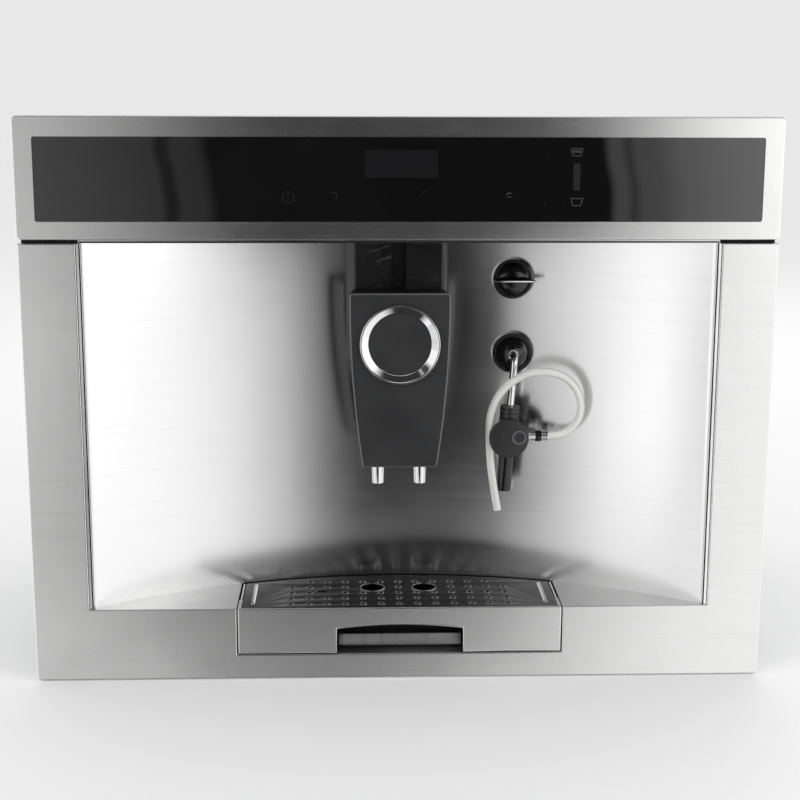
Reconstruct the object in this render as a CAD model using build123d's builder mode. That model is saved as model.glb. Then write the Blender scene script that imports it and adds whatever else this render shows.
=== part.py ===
from build123d import *
import math
import os

os.makedirs("parts", exist_ok=True)

# Built-in coffee machine. All sizes in millimetres.
# +Z is up, the front faces -Y and X = 0 is the middle.
# The origin is the middle of the mounting plate's underside, where it lies on the niche shelf.
# A depth is counted backwards from the face of the lower frame, a height from the shelf.

# ---------------------------------------------------------------- driving dimensions
# front
FRONT_WIDTH = 594.0
FRONT_HEIGHT = 455.0
FRONT_LIFT = 1.0
PANEL_HEIGHT = 94.5
PANEL_GAP = 3.0
PANEL_PROUD = 2.0
FRAME_DEPTH = 22.0
STILE = 44.5
RAIL = 60.0
FRONT_SHEET = 1.5
FRONT_CORNER = 4.0
FRONT_EDGE = 1.0

# control glass and what lies behind it
GLASS_BORDER = 15.0
GLASS_BORDER_TOP = 15.5
GLASS_BORDER_BOTTOM = 14.0
GLASS_THICK = 3.0
GLASS_SINK = 0.3
GLASS_CORNER = 2.0
GLASS_FIT = 0.3
DISPLAY_WIDTH = 56.5
DISPLAY_HEIGHT = 21.5
DISPLAY_DROP = 22.0
DISPLAY_DEPTH = 9.0
TOUCH_PADS = 7
TOUCH_PITCH = 66.0
TOUCH_PAD_RADIUS = 5.0
BOARD_THICK = 1.6
BOARD_HEIGHT = 22.0
TOUCH_RISE = 19.5
BOARD_STANDOFF = 3.0

# recess
WALL_DEPTH = 87.5
WALL_SIDE_DEPTH = 3.0
WALL_SHEET = 1.2
WALL_FOOT = 6.0
WALL_SIDE_GAP = 2.5
WALL_HEAD_GAP = 2.5

# case
CASE_SHEET = 1.2
CASE_DEPTH = 346.0
CASE_HEIGHT = 440.0
CASE_LIFT = 4.0
CASE_FLANGE = 12.0
CASE_FRONT_FLANGE = 25.0
PAN_RIM = 14.0
VENT_COUNT = 9
VENT_WIDTH = 4.0
VENT_LENGTH = 60.0
VENT_PITCH = 11.0
SCREW_HEAD = 3.5
SCREW_HEAD_THICK = 2.0
SCREW_INSET = 20.0

# mounting plate and telescopic slides
PLATE_WIDTH = 556.0
PLATE_DEPTH = 340.0
PLATE_SHEET = 2.0
PLATE_WALL = 60.0
PLATE_SETBACK = 4.0
MOUNT_PITCH_X = 480.0
MOUNT_PITCH_Y = 260.0
MOUNT_HOLE = 5.5
SLIDE_HEIGHT = 45.0
SLIDE_THICK = 12.7
SLIDE_STEEL = 1.2
SLIDE_LENGTH = 320.0
SLIDE_MIDDLE_LENGTH = 300.0
SLIDE_Z = 32.0
SLIDE_GAP = 0.3

# deck inside the case
DECK_Z = 66.0
DECK_START = 98.0
DECK_LEG = 6.0

# drip tray
TRAY_WIDTH = 265.0
TRAY_GAP = 1.0
TRAY_BOTTOM = 22.5
TRAY_DEPTH = 290.0
TRAY_WALL = 2.0
TRAY_PARTITION = 100.0
PAN_WIDTH = 252.0
PAN_CORNER = 6.0
PULL_WIDTH = 105.0
PULL_HEIGHT = 20.5
PULL_RISE = 3.5
PULL_CORNER = 2.0
GRIP_DEPTH = 9.0
GRIP_TOP = 38.5
GRIP_BOTTOM = 27.5
GRIP_CORNER = 5.0
GRID_WIDTH = 259.0
GRID_SHEET = 1.2
GRID_SKIRT = 3.0
GRID_WALL_GAP = 2.5
HOLE_PITCH = 15.0
HOLE_ROW_PITCH = 14.0
HOLE_FIRST_ROW = 11.0
HOLE_RADIUS = 2.3
HOLE_COLUMNS = 15
HOLE_ROWS = 5
HOLE_SIDES = 8
SPOUT_HOLE_RADIUS = 10.0
SPOUT_HOLE_SPACING = 44.0
SPOUT_HOLE_DEPTH = 52.0
GRID_RIB_X = 121.0
GRID_RIB_WIDTH = 3.0
GRID_RIB_HEIGHT = 1.0
GRID_RIB_LENGTH = 50.0
FLOAT_X = -64.6
FLOAT_DEPTH = 43.0
FLOAT_SLOT = 8.0
FLOAT_SLOT_WIDTH = 5.0
FLOAT_STEM = 5.6
FLOAT_STEM_WIDTH = 3.0
FLOAT_WIDTH = 26.0
FLOAT_HEIGHT = 12.0
BIN_WIDTH = 230.0
BIN_DEPTH = 170.0
BIN_HEIGHT = 32.0
BIN_WALL = 1.8
RUNNER_START = 26.0
RUNNER_LENGTH = 268.0
RUNNER_SHEET = 1.5
RUNNER_SHELF = 15.0

# outlet head
HEAD_WIDTH = 81.0
HEAD_FOOT_WIDTH = 60.5
HEAD_HEIGHT = 142.5
HEAD_BOTTOM = 174.5
HEAD_BULGE = 6.0
HEAD_FACE = 18.0
HEAD_CORNER = 3.0
COVER_THICK = 4.0
COVER_CHAMFER = 1.2
CARRIAGE_INSET = 1.5
CARRIAGE_DEPTH = 35.0
COLUMN_WIDTH = 76.0
COLUMN_FOOT_WIDTH = 52.0
COLUMN_BOTTOM = 190.0
COLUMN_TAPER_TOP = 250.0
RAIL_NECK = 12.0
RAIL_NECK_DEPTH = 4.0
RAIL_HEAD = 22.0
RAIL_HEAD_DEPTH = 5.0
RAIL_LENGTH = 90.0
RING_Z = 276.0
RING_RADIUS = 32.3
RING_INNER = 25.0
RING_HEIGHT = 3.5
RING_SEAT = 1.5
DISC_THICK = 1.6
SPOUT_SPACING = 35.0
SPOUT_DEPTH = 46.0
SPOUT_RADIUS = 4.0
SPOUT_BORE = 2.6
SPOUT_LENGTH = 27.0
SPOUT_SEAT = 6.0

# steam knob and valve
KNOB_X = 95.0
KNOB_Z = 322.5
BEZEL_RADIUS = 16.5
BEZEL_FACE = 66.0
BEZEL_RIM = 2.2
KNOB_RADIUS = 14.0
KNOB_DOME = 5.0
KNOB_SKIRT = 4.0
KNOB_FIN_LENGTH = 35.0
KNOB_FIN_THICK = 4.5
KNOB_FIN_DEPTH = 11.0
SPINDLE_RADIUS = 3.0
SPINDLE_LENGTH = 34.0
RUN_FIT = 0.05
VALVE_NECK = 8.0
VALVE_WIDTH = 34.0
VALVE_HEIGHT = 32.0
VALVE_DEPTH = 30.0

# steam wand
WAND_X = 95.7
WAND_Z = 260.2
WAND_DEPTH = 50.0
WAND_LEAN = 4.0
BALL_RADIUS = 14.5
BALL_DEPTH = 73.0
BALL_FIT = 0.3
BALL_FLAT = 0.8
SOCKET_FACE = 67.5
SOCKET_WALL = 2.0
SOCKET_LIP = 0.9
SOCKET_BACK = 20.0
TUBE_RADIUS = 3.0
TUBE_BORE = 1.6
TUBE_BEND = 7.0
TUBE_DROP = 56.0
COLLAR_RADIUS = 4.4
COLLAR_THICK = 1.3
NECK_RADIUS = 8.1
NECK_TOP = 41.5
NECK_STEPS = 3
NECK_STEP = 3.3
NECK_GROOVE = 0.8
PUCK_DROP = 66.9
PUCK_RADIUS = 16.4
CAP_THICK = 5.0
CAP_FRONT = 13.5
CAP_CHAMFER = 1.0
BARREL_RADIUS = 10.5
BARREL_BACK = 9.0
INSET_RADIUS = 4.3
INSET_X = 6.8
NOZZLE_RADIUS = 6.6
NOZZLE_BORE = 4.6
NOZZLE_LENGTH = 33.0
NOZZLE_DROP = 113.5
BARB_RISE = 3.0
BARB_SLEEVE_RADIUS = 4.4
BARB_SLEEVE_END = 24.6
BARB_COLLAR_RADIUS = 4.6
BARB_COLLAR_LENGTH = 3.4
BARB_RADIUS = 3.9
BARB_TAPER = 6.0
BARB_BORE = 1.6
BARB_PITCH = 3.2
BARB_COUNT = 2
HOSE_RADIUS = 3.25
HOSE_BORE = 2.0
HOSE_FIRST_RUN = 14.4
HOSE_EASE = 0.45

# inside the case
TANK_X = 184.0
TANK_DEPTH = 292.0
TANK_WIDTH = 132.0
TANK_LENGTH = 132.0
TANK_BOTTOM = 182.0
TANK_HEADROOM = 8.0
TANK_WALL = 2.5
TANK_CORNER = 10.0
TANK_SEAT = 10.0
SEAT_BORE = 0.85
SPIGOT_REACH = 0.75
TANK_FIT = 1.5
LID_THICK = 2.5
LID_GAP = 0.4
HINGE_PIN = 1.6
HINGE_LENGTH = 40.0
EAR_THICK = 4.0
EAR_RATIO = 1.75
BARREL_RATIO = 1.5
VALVE_SPIGOT = 5.0
HOPPER_X = -40.0
HOPPER_DEPTH = 250.0
HOPPER_WIDTH = 116.0
HOPPER_LENGTH = 116.0
HOPPER_RIM = 6.0
HOPPER_WALL = 2.0
HOPPER_THROAT = 24.0
BURR_RADIUS = 40.0
BURR_HEIGHT = 42.0
GRIND_MOTOR_RADIUS = 30.0
GRIND_MOTOR_HEIGHT = 84.0
BURR_BOWL = 24.0
BURR_CONE = 12.0
BURR_TIP = 5.0
STAND_SHEET = 2.0
STAND_WIDTH = 76.0
STAND_DEPTH = 60.0
CHUTE_WIDTH = 30.0
CHUTE_HEIGHT = 22.0
CHUTE_WALL = 1.6
CHUTE_END_X = -172.0
CHUTE_LIP = 10.0
CHUTE_FALL = 40.8
BREW_LENGTH = 128.0
BREW_DEPTH = 225.0
BREW_THICK = 110.0
BREW_HEIGHT = 205.0
BREW_PLATE = 3.0
BREW_LAP = 6.0
BREW_GAP = 3.0
BREW_RAIL = 8.0
RAIL_SPREAD = 0.3
BREW_RAIL_HEIGHT = 5.0
BREW_INLET = 16.0
BREW_INLET_DEPTH = 55.0
BREW_WINDOW_WIDTH = 76.0
BREW_WINDOW_HEIGHT = 110.0
BREW_WINDOW_DEPTH = 40.0
BREW_PISTON = 18.0
BREW_GRIP_WIDTH = 60.0
BREW_GRIP_HEIGHT = 16.0
DRIVE_DEPTH = 225.0
DRIVE_GEAR = 24.0
DRIVE_WIDTH = 40.0
DRIVE_LENGTH = 70.0
DRIVE_HEIGHT = 90.0
HEATER_X = 75.0
HEATER_DEPTH = 138.0
HEATER_WIDTH = 100.0
HEATER_LENGTH = 56.0
HEATER_HEIGHT = 78.0
HEATER_LEG = 12.0
HEATER_FINS = 6
FIN_HEIGHT = 6.0
FIN_THICK = 3.0
PUMP_X = 45.0
PUMP_Y_DEPTH = 322.0
PUMP_Z = 100.0
PUMP_RADIUS = 20.0
PUMP_LENGTH = 96.0
PUMP_NOSE = 5.0
PUMP_NOSE_LENGTH = 12.0
PUMP_BRACKET = 3.0
PUMP_BRACKET_PITCH = 60.0
WATER_HOSE_RADIUS = 4.0
WATER_HOSE_BORE = 2.0
WATER_HOSE_BEND = 16.0
STEAM_PIPE_RADIUS = 2.5
STEAM_PIPE_BORE = 1.5
STEAM_PIPE_BEND = 6.0
BOARD_LENGTH = 130.0
BOARD_TALL = 140.0
BOARD_DEPTH = 130.0
BOARD_Z = 165.0
BOARD_POST = 8.0
BOARD_POST_RADIUS = 3.0
BOARD_INSET = 10.0
TRAFO_SIDE = 34.0
TRAFO_HEIGHT = 24.0
RELAY_COUNT = 4
RELAY_WIDTH = 12.0
RELAY_LENGTH = 20.0
RELAY_HEIGHT = 16.0
RELAY_PITCH = 26.0
CAPACITOR_RADIUS = 7.0
CAPACITOR_HEIGHT = 20.0
INLET_X = -165.0
INLET_Z = 40.0
INLET_WIDTH = 84.0
INLET_HEIGHT = 30.0
INLET_LIP = 2.5
INLET_BODY = 26.0
SOCKET_WIDTH = 24.0
SOCKET_HEIGHT = 16.5
SOCKET_DEPTH = 17.0
SOCKET_OFFSET = 18.0
CONTACT_PITCH = 7.0
CONTACT_LENGTH = 14.0
SWITCH_OFFSET = 24.0
SWITCH_WIDTH = 15.0
SWITCH_HEIGHT = 21.0
SWITCH_TILT = 8.0
SWITCH_REACH = 9.6
SWITCH_PEAK = 4.4
SWITCH_DIP = 3.0
SWITCH_KEEL = 2.0
SWITCH_SINK = 3.2
SWITCH_WELL = 14.0
SWITCH_PIN = 1.2
SWITCH_PIN_REACH = 1.0

# ---------------------------------------------------------------- derived places
FACE = -PLATE_DEPTH / 2 - PLATE_SETBACK - FRAME_DEPTH
PANEL_BOTTOM = FRONT_LIFT + FRONT_HEIGHT - PANEL_HEIGHT
PANEL_TOP = FRONT_LIFT + FRONT_HEIGHT
FRAME_TOP = PANEL_BOTTOM - PANEL_GAP
LEDGE = FRONT_LIFT + RAIL
OPENING = FRONT_WIDTH - 2 * STILE
WALL_TOP = PANEL_BOTTOM - WALL_HEAD_GAP
WALL_HALF = OPENING / 2 - WALL_SIDE_GAP
WALL_RISE = WALL_DEPTH - WALL_SIDE_DEPTH
WALL_RADIUS = (WALL_HALF**2 + WALL_RISE**2) / (2 * WALL_RISE)
WALL_OUTER = WALL_RADIUS + WALL_SHEET
SLIDE_X = PLATE_WIDTH / 2 - PLATE_SHEET
CASE_HALF = SLIDE_X - SLIDE_THICK - SLIDE_GAP
CASE_INNER = CASE_HALF - CASE_SHEET
CASE_FRONT = FRAME_DEPTH
CASE_BACK = FRAME_DEPTH + CASE_DEPTH
CASE_TOP = CASE_LIFT + CASE_HEIGHT
DECK_TOP = DECK_Z + CASE_SHEET
TANK_TOP = CASE_TOP - TANK_HEADROOM
BREW_BOTTOM = DECK_TOP + BREW_GAP
BREW_TOP = BREW_BOTTOM + BREW_HEIGHT
BURR_BOTTOM = BREW_TOP + CHUTE_FALL
HOPPER_BOTTOM = BURR_BOTTOM + BURR_HEIGHT
VENT_Z = CASE_LIFT + CASE_HEIGHT * 0.8
HEAD_TOP = HEAD_BOTTOM + HEAD_HEIGHT
CARRIAGE_FRONT = HEAD_FACE + COVER_THICK
CARRIAGE_BACK = CARRIAGE_FRONT + CARRIAGE_DEPTH
COLUMN_FRONT = CARRIAGE_BACK + SLIDE_GAP
TRAY_FLOOR = TRAY_BOTTOM
GRID_TOP = LEDGE
GRID_UNDER = GRID_TOP - GRID_SHEET


def at(depth):
    """Y of a depth behind the face of the lower frame."""
    return FACE + depth


def front(depth):
    """Plane parallel to the front; extrusions with a negative amount go backwards."""
    return Plane.XZ.offset(-at(depth))


def level(height):
    """Horizontal plane at a height above the shelf."""
    return Plane.XY.offset(height)


def side(x):
    """Upright plane seen from the right, with Y across and Z up."""
    return Plane.YZ.offset(x)


def wall_depth(x):
    """Depth of the recess wall's arc at a distance x from the middle."""
    return WALL_DEPTH - WALL_RADIUS + math.sqrt(WALL_RADIUS**2 - x**2)


def arc_band(inner, outer, half_width):
    """Face of a curved band, concentric with the recess wall, between two radii."""
    with BuildSketch(Plane.XY, mode=Mode.PRIVATE) as band:
        with Locations((0, at(WALL_DEPTH - WALL_RADIUS))):
            Circle(outer)
            Circle(inner, mode=Mode.SUBTRACT)
        with Locations((0, at(0))):
            Rectangle(2 * half_width, WALL_DEPTH * 2, align=(Align.CENTER, Align.MIN), mode=Mode.INTERSECT)
    return band.sketch


def write(node, name):
    """Label a finished piece and write it to its own file."""
    node.part.label = name
    export_step(node.part, f"parts/{name}.step")


# ---------------------------------------------------------------- mounting plate and slides
with BuildPart() as mounting_plate:
    with BuildSketch(Plane.XZ.offset(-PLATE_DEPTH / 2)):
        Rectangle(PLATE_WIDTH, PLATE_WALL, align=(Align.CENTER, Align.MIN))
        with Locations((0, PLATE_SHEET)):
            Rectangle(
                PLATE_WIDTH - 2 * PLATE_SHEET,
                PLATE_WALL,
                align=(Align.CENTER, Align.MIN),
                mode=Mode.SUBTRACT,
            )
    extrude(amount=PLATE_DEPTH)
    fillet(mounting_plate.edges().filter_by(Axis.Y).group_by(Axis.Z)[0], PLATE_SHEET * 0.9)
    with BuildSketch(level(0)):
        with GridLocations(MOUNT_PITCH_X, MOUNT_PITCH_Y, 2, 2):
            Circle(MOUNT_HOLE / 2)
    extrude(amount=PLATE_SHEET, mode=Mode.SUBTRACT)
write(mounting_plate, "mounting_plate")

SLIDE_REAR = -PLATE_DEPTH / 2 + SLIDE_LENGTH


def slide_section(outer_x, height, opens_inwards):
    """Channel section of one slide member on the right, at the rear end of the slides."""
    web = -1 if opens_inwards else 1
    inner_x = CASE_HALF if not opens_inwards else CASE_HALF + SLIDE_GAP
    with BuildSketch(Plane.XZ.offset(-SLIDE_REAR)) as section:
        with Locations(((outer_x + inner_x) / 2, SLIDE_Z)):
            Rectangle(outer_x - inner_x, height)
        with Locations(((outer_x + inner_x) / 2 + web * SLIDE_STEEL, SLIDE_Z)):
            Rectangle(outer_x - inner_x, height - 2 * SLIDE_STEEL, mode=Mode.SUBTRACT)
    return section.sketch


SLIDE_NEST = SLIDE_STEEL + SLIDE_GAP

with BuildPart() as slide_outer_members:
    extrude(slide_section(SLIDE_X, SLIDE_HEIGHT, True), amount=SLIDE_LENGTH)
    mirror(about=Plane.YZ)
write(slide_outer_members, "slide_outer_members")

with BuildPart() as slide_middle_members:
    middle_section = slide_section(SLIDE_X - SLIDE_NEST, SLIDE_HEIGHT - 2 * SLIDE_NEST, True)
    extrude(middle_section, amount=SLIDE_MIDDLE_LENGTH)
    mirror(about=Plane.YZ)
write(slide_middle_members, "slide_middle_members")

with BuildPart() as slide_inner_members:
    inner_section = slide_section(SLIDE_X - 2 * SLIDE_NEST, SLIDE_HEIGHT - 4 * SLIDE_NEST, False)
    extrude(inner_section, amount=SLIDE_LENGTH)
    mirror(about=Plane.YZ)
write(slide_inner_members, "slide_inner_members")

# ---------------------------------------------------------------- case
with BuildPart() as base_pan:
    with BuildSketch(level(CASE_LIFT)):
        with Locations((0, at((CASE_FRONT + CASE_BACK) / 2))):
            Rectangle(2 * CASE_INNER, CASE_DEPTH - 2 * CASE_SHEET)
    extrude(amount=PAN_RIM)
    offset(amount=-CASE_SHEET, openings=base_pan.faces().sort_by(Axis.Z)[-1])
write(base_pan, "base_pan")


# right side of the case: a sheet with flanges turned in at the front, back and top
with BuildPart() as case_side:
    with BuildSketch(level(CASE_LIFT)):
        with Locations((CASE_HALF, at(CASE_FRONT))):
            Rectangle(CASE_SHEET, CASE_DEPTH, align=(Align.MAX, Align.MIN))
            Rectangle(CASE_FRONT_FLANGE, CASE_SHEET, align=(Align.MAX, Align.MIN))
        with Locations((CASE_HALF, at(CASE_BACK))):
            Rectangle(CASE_FLANGE, CASE_SHEET, align=(Align.MAX, Align.MAX))
    extrude(amount=CASE_HEIGHT - CASE_SHEET)
    with BuildSketch(level(CASE_TOP - 2 * CASE_SHEET)):
        with Locations((CASE_HALF, at(CASE_FRONT))):
            Rectangle(CASE_FLANGE, CASE_DEPTH, align=(Align.MAX, Align.MIN))
    extrude(amount=CASE_SHEET)
    # row of upright cooling slots
    with BuildSketch(side(CASE_HALF)):
        with Locations((at(CASE_FRONT + CASE_DEPTH * 0.25), VENT_Z)):
            with GridLocations(VENT_PITCH, 1, VENT_COUNT, 1):
                SlotOverall(VENT_LENGTH, VENT_WIDTH, rotation=90)
    extrude(amount=-CASE_SHEET, mode=Mode.SUBTRACT)

with BuildPart() as side_panel_left:
    mirror(case_side.part, about=Plane.YZ)
    with BuildSketch(side(-CASE_HALF)):
        with Locations((at(BREW_DEPTH), (BREW_BOTTOM + BREW_TOP) / 2)):
            Rectangle(BREW_THICK + 2 * BREW_GAP, BREW_HEIGHT + 2 * BREW_GAP)
    extrude(amount=CASE_SHEET, mode=Mode.SUBTRACT)
write(side_panel_left, "side_panel_left")

with BuildPart() as side_panel_right:
    add(case_side.part)
write(side_panel_right, "side_panel_right")

REAR_SKIN = CASE_BACK + CASE_SHEET
with BuildPart() as rear_panel:
    with BuildSketch(front(CASE_BACK)):
        with Locations((0, CASE_LIFT)):
            Rectangle(2 * CASE_HALF, CASE_HEIGHT, align=(Align.CENTER, Align.MIN))
        with Locations((0, VENT_Z)):
            with GridLocations(VENT_LENGTH * 1.4, VENT_PITCH, 3, VENT_COUNT // 2):
                SlotOverall(VENT_LENGTH, VENT_WIDTH, mode=Mode.SUBTRACT)
        with Locations((INLET_X, INLET_Z)):
            Rectangle(INLET_WIDTH - 2 * INLET_LIP, INLET_HEIGHT - 2 * INLET_LIP, mode=Mode.SUBTRACT)
    extrude(amount=-CASE_SHEET)
write(rear_panel, "rear_panel")

TANK_BAY_X = TANK_X - TANK_WIDTH / 2 - TANK_FIT
TANK_BAY_DEPTH = TANK_DEPTH - TANK_LENGTH / 2 - TANK_FIT
with BuildPart() as top_cover:
    with BuildSketch(level(CASE_TOP - CASE_SHEET)):
        with Locations((0, at(CASE_FRONT))):
            Rectangle(2 * CASE_HALF, CASE_DEPTH, align=(Align.CENTER, Align.MIN))
        with Locations((TANK_BAY_X, at(TANK_BAY_DEPTH))):
            Rectangle(FRONT_WIDTH / 2, CASE_DEPTH, align=(Align.MIN, Align.MIN), mode=Mode.SUBTRACT)
        with Locations((HOPPER_X, at(HOPPER_DEPTH))):
            Rectangle(HOPPER_WIDTH + SLIDE_GAP * 2, HOPPER_LENGTH + SLIDE_GAP * 2, mode=Mode.SUBTRACT)
        with Locations((-CASE_HALF * 0.7, at(HOPPER_DEPTH))):
            with GridLocations(1, VENT_PITCH, 1, VENT_COUNT):
                SlotOverall(VENT_LENGTH, VENT_WIDTH, mode=Mode.SUBTRACT)
    extrude(amount=CASE_SHEET)
write(top_cover, "top_cover")

with BuildPart() as equipment_deck:
    with BuildSketch(level(DECK_Z)):
        with Locations((0, at(DECK_START))):
            Rectangle(2 * CASE_INNER, CASE_BACK - CASE_SHEET - DECK_START, align=(Align.CENTER, Align.MIN))
    extrude(amount=CASE_SHEET)
    with BuildSketch(level(CASE_LIFT + CASE_SHEET)):
        with Locations((0, at((DECK_START + CASE_BACK) / 2))):
            with GridLocations(2 * (CASE_INNER - CASE_SHEET) - DECK_LEG, 1, 2, 1):
                Rectangle(DECK_LEG, CASE_DEPTH - DECK_START)
    extrude(until=Until.NEXT)
    with BuildSketch(level(DECK_TOP)):
        for edge in (-1, 1):
            with Locations((-CASE_INNER, at(BREW_DEPTH + edge * BREW_THICK * RAIL_SPREAD))):
                Rectangle(BREW_LENGTH, BREW_RAIL, align=(Align.MIN, Align.CENTER))
    extrude(amount=BREW_RAIL_HEIGHT)
write(equipment_deck, "equipment_deck")

with BuildPart() as case_screws:
    with BuildSketch(front(REAR_SKIN)):
        with Locations((0, CASE_LIFT + CASE_HEIGHT / 2)):
            with GridLocations(2 * (CASE_HALF - CASE_FLANGE / 2), CASE_HEIGHT / 2 - SCREW_INSET, 2, 3):
                Circle(SCREW_HEAD)
    extrude(amount=-SCREW_HEAD_THICK)
write(case_screws, "case_screws")

# ---------------------------------------------------------------- front frame and recess
with BuildPart() as lower_frame:
    with BuildSketch(front(0)):
        with Locations((0, FRONT_LIFT)):
            Rectangle(FRONT_WIDTH, FRAME_TOP - FRONT_LIFT, align=(Align.CENTER, Align.MIN))
        with Locations((0, LEDGE)):
            Rectangle(OPENING, FRAME_TOP, align=(Align.CENTER, Align.MIN), mode=Mode.SUBTRACT)
        with Locations((0, TRAY_BOTTOM - TRAY_GAP)):
            Rectangle(TRAY_WIDTH + 2 * TRAY_GAP, RAIL, align=(Align.CENTER, Align.MIN), mode=Mode.SUBTRACT)
    extrude(amount=-FRAME_DEPTH)
    fillet(lower_frame.edges().filter_by(Axis.Y).group_by(Axis.Z)[0], FRONT_CORNER)
    fillet(lower_frame.faces().sort_by(Axis.Y)[0].edges(), FRONT_EDGE)
    offset(amount=-FRONT_SHEET, openings=lower_frame.faces().sort_by(Axis.Y)[-1])
    # the ledge runs back from the rail's top to the foot of the recess wall
    with BuildSketch(level(LEDGE - FRONT_SHEET)):
        with Locations((0, at(WALL_DEPTH - WALL_RADIUS))):
            Circle(WALL_OUTER + WALL_FOOT)
        with Locations((0, at(FRAME_DEPTH - FRONT_SHEET))):
            Rectangle(OPENING, WALL_DEPTH, align=(Align.CENTER, Align.MIN), mode=Mode.INTERSECT)
        Rectangle(TRAY_WIDTH + 2 * TRAY_GAP, FRONT_WIDTH, mode=Mode.SUBTRACT)
    extrude(amount=FRONT_SHEET)
write(lower_frame, "lower_frame")

GLASS_WIDTH = FRONT_WIDTH - 2 * GLASS_BORDER
GLASS_BOTTOM = PANEL_BOTTOM + GLASS_BORDER_BOTTOM
GLASS_TOP = PANEL_TOP - GLASS_BORDER_TOP
GLASS_MID = (GLASS_BOTTOM + GLASS_TOP) / 2
POCKET_DEPTH = GLASS_THICK + GLASS_SINK
DISPLAY_Z = GLASS_TOP - DISPLAY_DROP
TOUCH_Z = GLASS_BOTTOM + TOUCH_RISE

with BuildPart() as control_panel_fascia:
    with BuildSketch(front(-PANEL_PROUD)):
        with Locations((0, PANEL_BOTTOM)):
            Rectangle(FRONT_WIDTH, PANEL_HEIGHT, align=(Align.CENTER, Align.MIN))
    extrude(amount=-(FRAME_DEPTH + PANEL_PROUD))
    fillet(control_panel_fascia.edges().filter_by(Axis.Y), FRONT_CORNER)
    fillet(control_panel_fascia.faces().sort_by(Axis.Y)[0].edges(), FRONT_EDGE)
    offset(amount=-FRONT_SHEET, openings=control_panel_fascia.faces().sort_by(Axis.Y)[-1])
    # pocket that the glass is glued into
    with BuildSketch(front(-PANEL_PROUD + FRONT_SHEET / 2)):
        with Locations((0, GLASS_MID)):
            RectangleRounded(
                GLASS_WIDTH + 2 * FRONT_SHEET,
                GLASS_TOP - GLASS_BOTTOM + 2 * FRONT_SHEET,
                GLASS_CORNER + FRONT_SHEET,
            )
    extrude(amount=-(POCKET_DEPTH + FRONT_SHEET / 2))
    with BuildSketch(front(-PANEL_PROUD)):
        with Locations((0, GLASS_MID)):
            RectangleRounded(GLASS_WIDTH, GLASS_TOP - GLASS_BOTTOM, GLASS_CORNER)
    extrude(amount=-POCKET_DEPTH, mode=Mode.SUBTRACT)
    with BuildSketch(front(-PANEL_PROUD)):
        with Locations((0, DISPLAY_Z)):
            Rectangle(DISPLAY_WIDTH, DISPLAY_HEIGHT)
        with Locations((0, TOUCH_Z)):
            with GridLocations(TOUCH_PITCH, 1, TOUCH_PADS, 1):
                Circle(TOUCH_PAD_RADIUS + GLASS_FIT)
    extrude(amount=-2 * POCKET_DEPTH, mode=Mode.SUBTRACT)
write(control_panel_fascia, "control_panel_fascia")

with BuildPart() as control_glass:
    with BuildSketch(front(-PANEL_PROUD + GLASS_SINK)):
        with Locations((0, GLASS_MID)):
            RectangleRounded(
                GLASS_WIDTH - 2 * GLASS_FIT, GLASS_TOP - GLASS_BOTTOM - 2 * GLASS_FIT, GLASS_CORNER
            )
    extrude(amount=-GLASS_THICK)
write(control_glass, "control_glass")

GLASS_BACK = -PANEL_PROUD + POCKET_DEPTH
POCKET_BACK = GLASS_BACK + FRONT_SHEET
with BuildPart() as display_board:
    # display behind its window
    with BuildSketch(front(POCKET_BACK)):
        with Locations((0, DISPLAY_Z)):
            Rectangle(DISPLAY_WIDTH + 2 * FRONT_SHEET, DISPLAY_HEIGHT + 2 * FRONT_SHEET)
    extrude(amount=-DISPLAY_DEPTH)
    with BuildSketch(front(GLASS_BACK)):
        with Locations((0, DISPLAY_Z)):
            Rectangle(DISPLAY_WIDTH - 2 * GLASS_FIT, DISPLAY_HEIGHT - 2 * GLASS_FIT)
    extrude(amount=-FRONT_SHEET)
    # circuit board with a touch sensor behind each window
    with BuildSketch(front(POCKET_BACK + BOARD_STANDOFF)):
        with Locations((0, (TOUCH_Z - BOARD_HEIGHT / 2 + DISPLAY_Z) / 2)):
            Rectangle(TOUCH_PITCH * TOUCH_PADS, DISPLAY_Z - TOUCH_Z + BOARD_HEIGHT / 2)
    extrude(amount=-BOARD_THICK)
    with BuildSketch(front(GLASS_BACK)):
        with Locations((0, TOUCH_Z)):
            with GridLocations(TOUCH_PITCH, 1, TOUCH_PADS, 1):
                Circle(TOUCH_PAD_RADIUS)
    extrude(amount=-(FRONT_SHEET + BOARD_STANDOFF))
write(display_board, "display_board")

with BuildPart() as recess_wall:
    with BuildSketch(level(LEDGE)):
        add(arc_band(WALL_RADIUS, WALL_OUTER, WALL_HALF))
        for edge in (-1, 1):
            with Locations((edge * (WALL_HALF - WALL_SHEET / 2), at(WALL_SIDE_DEPTH))):
                Rectangle(
                    WALL_SHEET, FRAME_DEPTH - WALL_SIDE_DEPTH - SLIDE_GAP, align=(Align.CENTER, Align.MIN)
                )
    extrude(amount=WALL_TOP - LEDGE)
    with BuildSketch(front(0)):
        with Locations((KNOB_X, KNOB_Z)):
            Circle(VALVE_NECK + SLIDE_GAP)
        with Locations((WAND_X, WAND_Z)):
            Circle(BALL_RADIUS + BALL_FIT + SOCKET_WALL - SOCKET_LIP + SLIDE_GAP)
    extrude(amount=-2 * WALL_DEPTH, mode=Mode.SUBTRACT)
write(recess_wall, "recess_wall")

with BuildPart() as recess_ceiling:
    with BuildSketch(level(WALL_TOP)):
        add(arc_band(WALL_RADIUS - 2 * WALL_DEPTH, WALL_OUTER, WALL_HALF))
        with Locations((0, at(WALL_SHEET))):
            Rectangle(FRONT_WIDTH, WALL_DEPTH * 2, align=(Align.CENTER, Align.MIN), mode=Mode.INTERSECT)
    extrude(amount=WALL_SHEET)
write(recess_ceiling, "recess_ceiling")


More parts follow.
